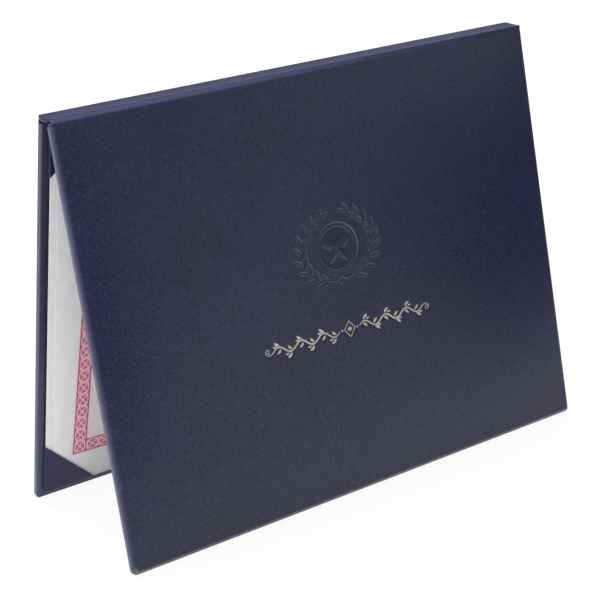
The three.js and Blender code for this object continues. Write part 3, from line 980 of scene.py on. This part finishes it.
FOIL_HALF = (57.0, 7.0)
VINE_FROM, VINE_WAVE, VINE_WAVES, VINE_SWING = 6.4, 14.1, 3, 1.9
VINE_STEP = 0.3
CURL_STEPS, CURL_STEP = 52, 0.25
CURL_START, CURL_GROWTH = -0.05, -0.024
STEM_LEAST, STEM_MORE, STEM_TAPER, STEM_ROUND = 0.35, 0.6, 1.25, 0.6
# The leaves at a crest: across and up from it, heading, length and width
CREST_LEAVES = ((-0.6, 0.8, 0.62, 3.7, 1.5), (1.1, 0.55, 0.12, 2.6, 1.0), (-1.1, -1.15, -0.75, 3.3, 1.35))
LEAF_POINTS = 13
LEAF_BOW, LEAF_ROUND, LEAF_TIP = 0.12, 0.85, 0.02
LOZENGE_HALF, LOZENGE_STROKE, LOZENGE_STEP = (3.4, 4.3), 0.35, 0.05
DIAMOND_HALF, DIAMOND_WIDTH, DIAMOND_BLUNT = 1.6, 2.6, 1.01
BEAD_AT, BEAD_HALF, BEAD_RADIUS, BEAD_LEAST = 4.9, 0.55, 0.56, 0.1
DOT_POINTS = 9
STAMP_EDGE = (0.9, 0.15)
STAMP_CHUNK = 2000
FOIL_BED = 0.02 * MM


def vine_path():
    """The stem's line: even waves that end in a curl."""
    x = np.arange(0.0, VINE_WAVE * VINE_WAVES, VINE_STEP)
    points = [(VINE_FROM + a, VINE_SWING * math.sin(2 * math.pi * a / VINE_WAVE)) for a in x]
    heading = math.atan2(points[-1][1] - points[-2][1], points[-1][0] - points[-2][0])
    px, py = points[-1]
    for step in range(CURL_STEPS):
        heading += CURL_STEP * (CURL_START + CURL_GROWTH * step)
        px, py = px + CURL_STEP * math.cos(heading), py + CURL_STEP * math.sin(heading)
        points.append((px, py))
    return np.array(points)


def ribbon(line, widths):
    """The two outlines of a stroke of changing width along a line."""
    along = np.gradient(line, axis=0)
    along /= np.linalg.norm(along, axis=1, keepdims=True)
    side = np.stack([-along[:, 1], along[:, 0]], axis=1) * (np.asarray(widths) / 2)[:, None]
    return line + side, line - side


def leaf_stroke(x, y, heading, long, wide):
    """A bowed leaf that is pointed at both ends."""
    t = np.linspace(0.0, 1.0, LEAF_POINTS)
    bow = LEAF_BOW * long * np.sin(math.pi * t)
    c, s = math.cos(heading), math.sin(heading)
    line = np.stack([x + long * t * c - bow * s, y + long * t * s + bow * c], axis=1)
    return ribbon(line, wide * np.sin(math.pi * np.clip(t, LEAF_TIP, 1.0 - LEAF_TIP)) ** LEAF_ROUND)


def ring_stroke(points, width):
    """A closed stroke: its outer and inner outlines."""
    closed = np.vstack([points, points[:1]])
    grown = width / np.abs(points).max()
    return closed * (1 + grown), closed * (1 - grown)


def dot_stroke(middle, half):
    """The line of a dot, and the same line from its middle."""
    line = np.linspace(-half, half, DOT_POINTS)
    return np.stack([middle + line, line * 0], axis=1), line


def foil_strokes():
    """Every stroke of the foil line as a pair of outlines."""
    path = vine_path()
    t = np.linspace(0.0, 1.0, len(path))
    taper = np.sin(math.pi * np.clip(t * STEM_TAPER, 0.0, 1.0)) ** STEM_ROUND
    vine = [ribbon(path, STEM_LEAST + STEM_MORE * taper)]
    for wave in range(2 * VINE_WAVES):
        up = 1.0 if wave % 2 == 0 else -1.0
        x = VINE_FROM + VINE_WAVE * (wave + 0.5) / 2
        y = up * VINE_SWING
        for across, rise, turn, long, wide in CREST_LEAVES:
            vine.append(leaf_stroke(x + across, y + up * rise, up * turn, long, wide))
    strokes = [(left * half_turn, right * half_turn) for left, right in vine for half_turn in (1.0, -1.0)]
    wide, tall = LOZENGE_HALF
    corners = np.array([(wide, 0.0), (0.0, tall), (-wide, 0.0), (0.0, -tall), (wide, 0.0)])
    t = np.arange(0.0, len(corners) - 1, LOZENGE_STEP)
    lozenge = np.stack([np.interp(t, np.arange(len(corners)), line) for line in corners.T], axis=1)
    strokes.append(ring_stroke(lozenge, LOZENGE_STROKE))
    line, along = dot_stroke(0.0, DIAMOND_HALF)
    strokes.append(ribbon(line, DIAMOND_WIDTH * (DIAMOND_BLUNT - np.abs(along) / DIAMOND_HALF)))
    for middle in (-BEAD_AT, BEAD_AT):
        line, along = dot_stroke(middle, BEAD_HALF)
        strokes.append(ribbon(line, 2 * np.sqrt(np.maximum(BEAD_RADIUS ** 2 - along ** 2, BEAD_LEAST ** 2))))
    return strokes


def foil_press(x, y):
    """Share of the stamp's depth at points near the foil line."""
    centres = [(0.5 * (a + b), 0.5 * np.linalg.norm(a - b, axis=1)) for a, b in foil_strokes()]
    line = np.concatenate([c for c, _ in centres])
    half = np.concatenate([h for _, h in centres])
    pressed = np.zeros(len(x))
    for chunk in np.array_split(np.arange(len(x)), max(1, len(x) // STAMP_CHUNK)):
        gap = np.hypot(x[chunk, None] - line[:, 0], y[chunk, None] - line[:, 1]) - half
        pressed[chunk] = smooth_step(*STAMP_EDGE, gap.min(axis=1))
    return pressed


def pressed_relief(ornament, patch):
    """How far the motif and the foil's stamp move the front skin, where it is pressed, and its lips, where a
    highlight is painted on the relief's steep edges.
    """
    x, s = patch.points()
    relief, stamp = np.zeros((2, len(x)))
    u, v = (x - ornament.motif_x) / MM, (s - ornament.motif_s) / MM
    near = (np.abs(u) < MOTIF_HALF[0]) & (np.abs(v) < MOTIF_HALF[1])
    relief[near] = motif_relief(u[near], v[near])
    u, v = (x - ornament.foil_x) / MM, (s - ornament.foil_s) / MM
    near = (np.abs(u) < FOIL_HALF[0]) & (np.abs(v) < FOIL_HALF[1])
    stamp[near] = foil_press(u[near], v[near])
    depth = relief * ornament.press - stamp * ornament.foil_press
    slopes = np.gradient(relief.reshape(patch.grid.shape), patch.ss / MM, patch.xs / MM)
    lip = np.clip(np.hypot(*slopes).ravel() - LIP_SLOPE, 0.0, 1.0)
    return depth, np.clip(-relief, 0.0, 1.0), lip


# Strips along the fold

SAG_MARGIN = 1.2 * MM
STRIP_INSETS = (1.5 * MM, 4 * MM, 12 * MM, 40 * MM, 90 * MM)
STRIP_TURN_STEPS = 8
UNDERSIDE_GAP = 0.2 * MM
SPINE_STEPS = 6
FOLD_LEAD_STEPS, FOLD_STEPS = 3, 14


def end_at(sizes, y):
    """Half length of the strips along the fold, which bow out at the middle of the spine."""
    bow = 1.0 - np.clip(np.abs(y) / (sizes.spine_width / 2), 0.0, 1.0) ** 2
    return sizes.width / 2 - sizes.fold_corner + sizes.tongue * bow


def sag_at(sizes, y):
    """How far the spine's leatherette lies below its folds."""
    reach = sizes.spine_width / 2 - SAG_MARGIN
    return sizes.dish * np.clip(1.0 - (np.abs(y) / reach) ** 2, 0.0, 1.0)


def strip_loop(sizes, deep, hollow):
    """One closed turn round a strip: (side, inset from the end, depth, on the plain underside)."""
    radius = deep / 2
    half = [(inset, 0.0, 0) for inset in reversed((radius, *STRIP_INSETS))]
    for step in range(1, STRIP_TURN_STEPS + 1):
        angle = step / STRIP_TURN_STEPS * math.pi
        half.append((radius * (1 - math.sin(angle)), radius * (1 - math.cos(angle)), 0))
    half.append((sizes.spine_turn_in, deep, 0))
    if hollow:
        half.append((sizes.spine_turn_in, deep - sizes.skin, 0))
        half.append((sizes.skin + GLUE, deep - sizes.skin, 0))
        half.append((sizes.skin + GLUE, sizes.skin, 0))
    half += [(sizes.spine_turn_in + UNDERSIDE_GAP, sizes.skin, 1), (STRIP_INSETS[-1], sizes.skin, 1)]
    right = [(1.0, *turn) for turn in half]
    left = [(-1.0, *turn) for turn in reversed(half)]
    return right + left


def strip_mesh(sizes, section, loop):
    """Carries a loop across a section of (y, z, normal y, normal z) and closes both ends."""
    points, rows = [], []
    for y, z, ny, nz in section:
        rows.append(list(range(len(points), len(points) + len(loop))))
        for side, inset, depth, _ in loop:
            x = side * (end_at(sizes, y) - inset)
            points.append((x, y - ny * depth, z - nz * depth - sag_at(sizes, y)))
    faces = [rows[0], rows[-1]]
    slots = [0, 0]
    under = [turn[3] for turn in loop]
    for first, second in zip(rows, rows[1:]):
        faces += bridge(first, second)
        slots += [under[i] * under[(i + 1) % len(under)] for i in range(len(loop))]
    return points, faces, slots


def fold_section(plane, spine_top):
    """The bent strip's line, from the spine's edge round to the cover's edge."""
    z = plane.sizes
    turn = math.pi / 2 - z.lean
    radius = z.fold_radius
    middle = z.spine_width / 2 - radius * math.tan(turn / 2)
    edge = z.spine_width / 2 - z.hinge_gap
    lead = [edge + (middle - edge) * step / FOLD_LEAD_STEPS for step in range(FOLD_LEAD_STEPS)]
    line = [(y, spine_top, 0.0, 1.0) for y in lead]
    for step in range(FOLD_STEPS + 1):
        angle = step / FOLD_STEPS * turn
        ny, nz = math.sin(angle), math.cos(angle)
        line.append((middle + radius * ny, spine_top - radius + radius * nz, ny, nz))
    _, y, high = plane.at(0.0, plane.top + z.fold_lip, z.thickness)
    line.append((plane.toward * y, high, plane.cos, plane.sin))
    return [(plane.toward * y, high, plane.toward * ny, nz) for y, high, ny, nz in line]


def fold_span(section, deep):
    """Where the bend starts and ends."""
    start, end = np.array(section[0][:2]), np.array(section[-1][:2])
    way = (end - start) / np.linalg.norm(end - start)
    inner = start - np.array(section[0][2:]) * deep
    late = max(0.0, (inner - start) @ way)
    inner = end - np.array(section[-1][2:]) * deep
    early = max(0.0, (end - inner) @ way)
    first, last = start + way * late, end - way * early
    return (0.0, *first), (0.0, *last)


# Corner pockets: points along an arm of a row, and rows over the face, in shares of the leg

POCKET_ARM = np.array([0.0, 0.012, 0.025, 0.045, 0.08, 0.16, 0.3, 0.5, 0.75, 1.0])
POCKET_FACE = (0.485, 0.43, 0.35, 0.26, 0.18, 0.11, 0.06)
POCKET_TURN_STEPS = 5
POCKET_CORNER, LEAST_POCKET_CORNER = 0.9 * MM, 0.05 * MM
LEAST_POCKET_EDGE = 0.15 * MM


def pocket_rows(sizes, leg, offset):
    """Rows of one side of a pocket, from the mouth's middle round to the flap: (inset, level, is face)."""
    radius = max(sizes.edge_radius - offset, LEAST_POCKET_EDGE)
    face, back = sizes.face + offset, sizes.back - offset
    rows = [(leg * part, face, 1) for part in POCKET_FACE]
    quarter = [step / POCKET_TURN_STEPS * math.pi / 2 for step in range(POCKET_TURN_STEPS + 1)]
    for angle in quarter:
        rows.append((offset + radius * (1 - math.sin(angle)), face + radius * (1 - math.cos(angle)), 1))
    for angle in quarter:
        rows.append((offset + radius * (1 - math.cos(angle)), back - radius * (1 - math.sin(angle)), 0))
    rows += [(sizes.flap / 2, back, 0), (sizes.flap, back, 0)]
    return rows


def pocket_line(leg, inset):
    """One row of points, along one edge to the corner and on along the other."""
    reach = POCKET_ARM * (leg - 2 * inset)
    radius = max(POCKET_CORNER - inset, LEAST_POCKET_CORNER)
    turn = np.clip(1.0 - reach / radius, 0.0, 1.0) * math.pi / 4
    along = inset + np.where(reach < radius, radius * (1 - np.sin(turn)), reach)
    off = inset + np.where(reach < radius, radius * (1 - np.cos(turn)), 0.0)
    return np.concatenate([along[::-1], off[1:]]), np.concatenate([off[::-1], along[1:]])


def pocket_mesh(plane, sizes, to_right, to_top):
    """One skin over the sheet, round two edges of the panel and behind it, closed all round."""
    corner_x = to_right * (plane.sizes.width / 2 - sizes.side)
    corner_s = sizes.high if to_top > 0 else sizes.low
    leg = sizes.upper_leg if to_top > 0 else sizes.lower_leg
    points, faces, sides = [], [], []
    used = 0
    for offset in (0.0, sizes.skin):
        rows = []
        for inset, level, on_face in pocket_rows(sizes, leg, offset):
            a, b = pocket_line(leg, inset)
            bulge = on_face * sizes.bulge * 4 * a * b / leg ** 2
            points.append(plane.at(corner_x - to_right * a, corner_s - to_top * b, level - bulge))
            rows.append(list(range(used, used + len(a))))
            used += len(a)
        faces.append(rows[0])
        for first, second in zip(rows, rows[1:]):
            faces += bridge(first, second, closed=False)
        sides.append(rows)
    outer, inner = sides
    faces += bridge(outer[-1], inner[-1], closed=False)
    faces.append((outer[0][0], outer[0][-1], inner[0][-1], inner[0][0]))
    for end in (0, -1):
        faces += bridge([row[end] for row in outer], [row[end] for row in inner], closed=False)
    return np.concatenate(points), faces


# Operators

# Lines of the two covers' patches, in bands of (start, end, step) in millimetres: fine under the ornament
FINE_ACROSS = ((-58, -57, 0.2), (-57, -31, 0.5), (-31, 31, 0.35), (31, 57, 0.5), (57, 58, 0.2))
FINE_UP = ((79, 80, 0.2), (80, 95, 0.5), (95, 107, 2), (107, 155.5, 0.35), (155.5, 157, 0.5), (157, 158, 0.2))
PLAIN_ACROSS = ((-92, -91, 0.2), (-91, 91, 13), (91, 92, 0.2))
PLAIN_UP = ((58, 59, 0.2), (59, 163, 13), (163, 164, 0.2))
HOLLOW_GAP = 0.2 * MM


class CERTIFICATE_OT_covers(bpy.types.Operator):
    """Stretches leatherette over padding on both covers, with the motif pressed into the front"""

    bl_idname = "certificate.covers"
    bl_label = "Covers"

    def execute(self, context):
        sizes = context.scene.cover_sizes
        ornament = context.scene.ornament_sizes
        skin = leatherette_finish("leatherette", context.scene.cover_colours.leatherette, COVER_GLOSS)
        foam = foam_finish(context.scene.cover_colours.foam)
        fine = Patchwork(line_up(*FINE_ACROSS), line_up(*FINE_UP))
        plain = Patchwork(line_up(*PLAIN_ACROSS), line_up(*PLAIN_UP))
        for body, toward, patch in (("front", FRONT, fine), ("rear", REAR, plain)):
            plane = CoverPlane(sizes, toward)
            depth, pressed, lip = np.zeros((3, patch.grid.size))
            hollow = 0.0
            if toward == FRONT:
                depth, pressed, lip = pressed_relief(ornament, patch)
                hollow = ornament.press + HOLLOW_GAP
            points, faces, worn, drawn = cover_skin(plane, patch, depth, hollow)
            piece = add_piece(f"{body}_cover_skin", points, faces, [skin])
            paint(piece, "worn", worn)
            paint(piece, "drawn", drawn)
            beyond = (0, len(points) - len(pressed))
            paint(piece, "pressed", np.pad(pressed, beyond))
            paint(piece, "lip", np.pad(lip, beyond))
            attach(piece, f"{body}_cover")
            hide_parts(f"{body}_leatherette")
            pad = add_piece(f"{body}_cover_padding", *cover_padding(plane, plain, hollow), [foam])
            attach(pad, f"{body}_cover")
            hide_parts(f"{body}_foam_pad")
        return {"FINISHED"}


class CERTIFICATE_OT_foil(bpy.types.Operator):
    """Stamps the foil line into the front cover"""

    bl_idname = "certificate.foil"
    bl_label = "Foil line"

    def execute(self, context):
        sizes = context.scene.cover_sizes
        ornament = context.scene.ornament_sizes
        plane = CoverPlane(sizes, FRONT)
        points, faces = [], []
        for left, right in foil_strokes():
            x, s = np.concatenate([left, right]).T * MM
            x, s = x + ornament.foil_x, s + ornament.foil_s
            level = sizes.thickness + plane.swell(x, s) - ornament.foil_press
            used = sum(len(part) for part in points)
            points += [plane.at(x, s, level + ornament.foil_thickness), plane.at(x, s, level - FOIL_BED)]
            numbers = np.arange(used, used + 2 * len(x)).reshape(4, len(left)).tolist()
            top_left, top_right, low_left, low_right = numbers
            rows = [top_left, top_right, low_right, low_left]
            for first, second in zip(rows, rows[1:] + rows[:1]):
                faces += bridge(first, second, closed=False)
            if not np.allclose(left[0], left[-1]):
                for end in (0, -1):
                    faces.append(tuple(row[end] for row in rows))
        finish = foil_finish(context.scene.cover_colours.foil)
        piece = add_piece("foil_line", np.concatenate(points), faces, [finish])
        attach(piece, "front_cover")
        return {"FINISHED"}


class CERTIFICATE_OT_fold(bpy.types.Operator):
    """Makes the spine's leatherette and the bent strips that join it to the covers"""

    bl_idname = "certificate.fold"
    bl_label = "Spine and folds"

    def execute(self, context):
        sizes = context.scene.cover_sizes
        colours = context.scene.cover_colours
        finishes = [
            leatherette_finish("spine_leatherette", colours.leatherette, COVER_GLOSS),
            lining_finish("fold_lining", colours.lining),
        ]
        half = sizes.spine_width / 2 - sizes.hinge_gap
        across = [half * step / SPINE_STEPS for step in range(-SPINE_STEPS, SPINE_STEPS + 1)]
        loop = strip_loop(sizes, sizes.spine_depth, hollow=True)
        points, faces, slots = strip_mesh(sizes, [(y, SPINE_TOP, 0.0, 1.0) for y in across], loop)
        spine = add_piece("spine_skin", points, faces, finishes, slots)
        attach(spine, "spine")
        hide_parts("spine_leatherette")
        deep = 2 * sizes.skin + GLUE
        loop = strip_loop(sizes, deep, hollow=False)
        for body, toward in (("front", FRONT), ("rear", REAR)):
            section = fold_section(CoverPlane(sizes, toward), SPINE_TOP)
            points, faces, slots = strip_mesh(sizes, section, loop)
            piece = add_piece(f"{body}_fold_skin", points, faces, finishes, slots)
            turn = np.repeat([math.acos(min(row[3], 1.0)) for row in section], len(loop))
            # Painted highlight on the front fold's bend, as on the skin beside it
            drawn = fold_highlight_share(toward, np.array(points)[:, 0]) * smooth_step(*FOLD_HIGHLIGHT_TURN, turn)
            paint(piece, "drawn", drawn)
            start, end = fold_span(section, deep)
            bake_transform(piece)
            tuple(start)
            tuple(end)
            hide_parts(f"{body}_hinge_fold")
        return {"FINISHED"}


class CERTIFICATE_OT_pockets(bpy.types.Operator):
    """Folds the four corner pockets round the document panel"""

    bl_idname = "certificate.pockets"
    bl_label = "Corner pockets"

    def execute(self, context):
        plane = CoverPlane(context.scene.cover_sizes, REAR)
        finish = leatherette_finish("pocket_leatherette", context.scene.cover_colours.pocket, POCKET_GLOSS)
        for height, to_top in (("lower", -1), ("upper", 1)):
            for hand, to_right in (("left", -1), ("right", 1)):
                points, faces = pocket_mesh(plane, context.scene.pocket_sizes, to_right, to_top)
                piece = add_piece(f"{height}_{hand}_pocket_skin", points, faces, [finish])
                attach(piece, "rear_cover")
                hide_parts(f"{height}_{hand}_pocket")
        return {"FINISHED"}


class CERTIFICATE_OT_papers(bpy.types.Operator):
    """Gives the boards, linings and sheets their finishes"""

    bl_idname = "certificate.papers"
    bl_label = "Boards and papers"

    def execute(self, context):
        colours = context.scene.cover_colours
        board = greyboard_finish(colours.greyboard)
        lining = lining_finish("lining", colours.lining)
        finishes = {
            "front_board": board,
            "rear_board": board,
            "spine_board": board,
            "document_panel_card": board,
            "front_lining": lining,
            "spine_liner": lining,
            "document_panel_wrap": lining,
            "backing_sheet": backing_finish(colours.backing),
            "certificate_sheet": certificate_finish(colours, context.scene.cover_sizes.lean),
        }
        for name, finish in finishes.items():
            for slot in frame["nodes"][name].material_slots:
                slot.material = finish
        return {"FINISHED"}


# The stage: sizes, places and aims of the lamps, and middles, turns, sizes and glow of the cards

LAMPS = {
    "top_lamp": (1.2, (0.1, 0.8, 1.6), (0.0, 0.05, 0.15)),
    "front_lamp": (1.2, (-0.8, -1.4, 0.5), (0.0, 0.0, 0.1)),
    "rim_lamp": (1.2, (-1.5, 0.45, 0.35), (-0.05, 0.0, 0.1)),
    "side_lamp": (0.4, (-1.2, -0.35, 0.15), (0.0, 0.03, 0.1)),
}
CARDS = {
    "right_card": ((0.43, -0.29, 0.113), math.radians(45.0), 0.30, 0.215, 0.0),
    "left_card": ((-0.03, -0.52, 0.113), math.radians(15.0), 0.20, 0.215, 0.0),
    "light_card": ((0.64, -0.75, 0.41), math.radians(35.0), 0.50, 0.25, 0.85),
}
FLOOR_LEVEL = -0.05 * MM
CAMERA_PLACE = (-0.469515, -0.656813, 0.412089)
CAMERA_RIGHT = (0.809123, -0.586859, -0.030255)
CAMERA_UP = (0.239569, 0.282414, 0.928897)


def stage_sheet(context, name, corners, finish):
    """A flat sheet of the stage with four corners."""
    mesh = bpy.data.meshes.new(name)
    mesh.from_pydata(corners, [], [(0, 1, 2, 3)])
    mesh.materials.append(finish)
    piece = bpy.data.objects.new(name, mesh)
    context.scene.collection.objects.link(piece)
    return piece


class CERTIFICATE_OT_stage(bpy.types.Operator):
    """Sets the pale floor, soft light and camera"""

    bl_idname = "certificate.stage"
    bl_label = "Stage"

    def execute(self, context):
        settings = context.scene.stage_settings
        self.floor(context, settings)
        self.world(context, settings)
        for name, lamp in LAMPS.items():
            self.lamp(context, name, getattr(settings, name), *lamp)
        for name, card in CARDS.items():
            self.card(context, name, *card)
        self.camera(context, settings)
        context.scene.view_settings.view_transform = "Standard"
        return {"FINISHED"}

    def floor(self, context, settings):
        """A floor that shows almost white and keeps a shadow."""
        f = Finish("floor")
        rays = f.node("ShaderNodeLightPath", output="Is Camera Ray")
        ways = rays.socket.node.outputs
        seen = rays.math("MAXIMUM", Wire(ways["Is Glossy Ray"]))
        seen = seen.math("MAXIMUM", Wire(ways["Is Transmission Ray"]))
        lit = f.node("ShaderNodeBsdfDiffuse", inputs={"Color": settings.floor_bounce[:]})
        shown = f.node("ShaderNodeBsdfDiffuse", inputs={"Color": settings.floor_shown[:]})
        white = f.node("ShaderNodeEmission", inputs={"Color": WHITE, "Strength": 1.0})
        shown = f.node("ShaderNodeMixShader", inputs={0: settings.floor_white, 1: shown, 2: white})
        finish = f.show(f.node("ShaderNodeMixShader", inputs={0: seen, 1: lit, 2: shown}))
        half = settings.floor_half
        corners = [(-half, -half), (half, -half), (half, half), (-half, half)]
        stage_sheet(context, "floor", [(*corner, FLOOR_LEVEL) for corner in corners], finish)

    def card(self, context, name, middle, turn, wide, tall, glow):
        """A card that only reflections show, like the bright or dim side of a room."""
        f = Finish(name)
        finish = f.show(f.node("ShaderNodeEmission", inputs={"Color": WHITE, "Strength": glow}))
        along = np.array([math.cos(turn), math.sin(turn), 0.0]) * wide / 2
        rise = np.array([0.0, 0.0, tall / 2])
        low, high = np.array(middle) - rise, np.array(middle) + rise
        corners = np.array([low - along, low + along, high + along, high - along])
        piece = stage_sheet(context, name, corners.tolist(), finish)
        piece.visible_camera = False
        piece.visible_diffuse = False
        piece.visible_transmission = False
        piece.visible_shadow = False

    def world(self, context, settings):
        world = bpy.data.worlds.new("studio")
        world.use_nodes = True
        tree = world.node_tree
        tree.nodes.clear()
        inputs = {"Color": WHITE, "Strength": settings.world}
        glow = Wire.node(tree, "ShaderNodeBackground", inputs=inputs)
        Wire.node(tree, "ShaderNodeOutputWorld", inputs={"Surface": glow})
        context.scene.world = world

    def lamp(self, context, name, energy, size, place, aim):
        """A square lamp that points at its aim and isn't seen in reflections."""
        light = bpy.data.lights.new(name, "AREA")
        light.energy = energy
        light.size = size
        lamp = bpy.data.objects.new(name, light)
        lamp.location = place
        lamp.rotation_euler = (Vector(aim) - Vector(place)).to_track_quat("-Z", "Y").to_euler()
        lamp.visible_glossy = False
        context.scene.collection.objects.link(lamp)

    def camera(self, context, settings):
        lens = bpy.data.cameras.new("camera")
        lens.angle = settings.lens_angle
        camera = bpy.data.objects.new("camera", lens)
        axes = np.array([CAMERA_RIGHT, CAMERA_UP, np.cross(CAMERA_RIGHT, CAMERA_UP)]).T
        turn = Matrix([list(row) for row in axes]).to_4x4()
        camera.matrix_world = Matrix.Translation(CAMERA_PLACE) @ turn
        context.scene.collection.objects.link(camera)
        context.scene.camera = camera


class CERTIFICATE_PT_panel(bpy.types.Panel):
    """Lists the cover's pieces and the values that shape them"""

    bl_idname = "CERTIFICATE_PT_panel"
    bl_label = "Certificate cover"
    bl_space_type = "VIEW_3D"
    bl_region_type = "UI"
    bl_category = "Certificate cover"

    def draw(self, context):
        for operator in OPERATORS:
            self.layout.operator(operator.bl_idname)
        for group in GROUPS:
            values = getattr(context.scene, group)
            box = self.layout.box()
            for name in values.bl_rna.properties.keys():
                if name not in ("rna_type", "name"):
                    box.prop(values, name)


OPERATORS = (
    CERTIFICATE_OT_covers,
    CERTIFICATE_OT_foil,
    CERTIFICATE_OT_fold,
    CERTIFICATE_OT_pockets,
    CERTIFICATE_OT_papers,
    CERTIFICATE_OT_stage,
)
GROUPS = {
    "cover_sizes": CoverSizes,
    "pocket_sizes": PocketSizes,
    "ornament_sizes": OrnamentSizes,
    "cover_colours": CoverColours,
    "stage_settings": StageSettings,
}


def register():
    for name, group in GROUPS.items():
        bpy.utils.register_class(group)
        setattr(bpy.types.Scene, name, bpy.props.PointerProperty(type=group))
    for operator in OPERATORS:
        bpy.utils.register_class(operator)
    bpy.utils.register_class(CERTIFICATE_PT_panel)


def unregister():
    bpy.utils.unregister_class(CERTIFICATE_PT_panel)
    for operator in reversed(OPERATORS):
        bpy.utils.unregister_class(operator)
    for name, group in reversed(GROUPS.items()):
        delattr(bpy.types.Scene, name)
        bpy.utils.unregister_class(group)


def main():
    register()
    bpy.ops.certificate.covers()
    bpy.ops.certificate.foil()
    bpy.ops.certificate.fold()
    bpy.ops.certificate.pockets()
    bpy.ops.certificate.papers()
    bpy.ops.certificate.stage()


if __name__ == "__main__":
    main()
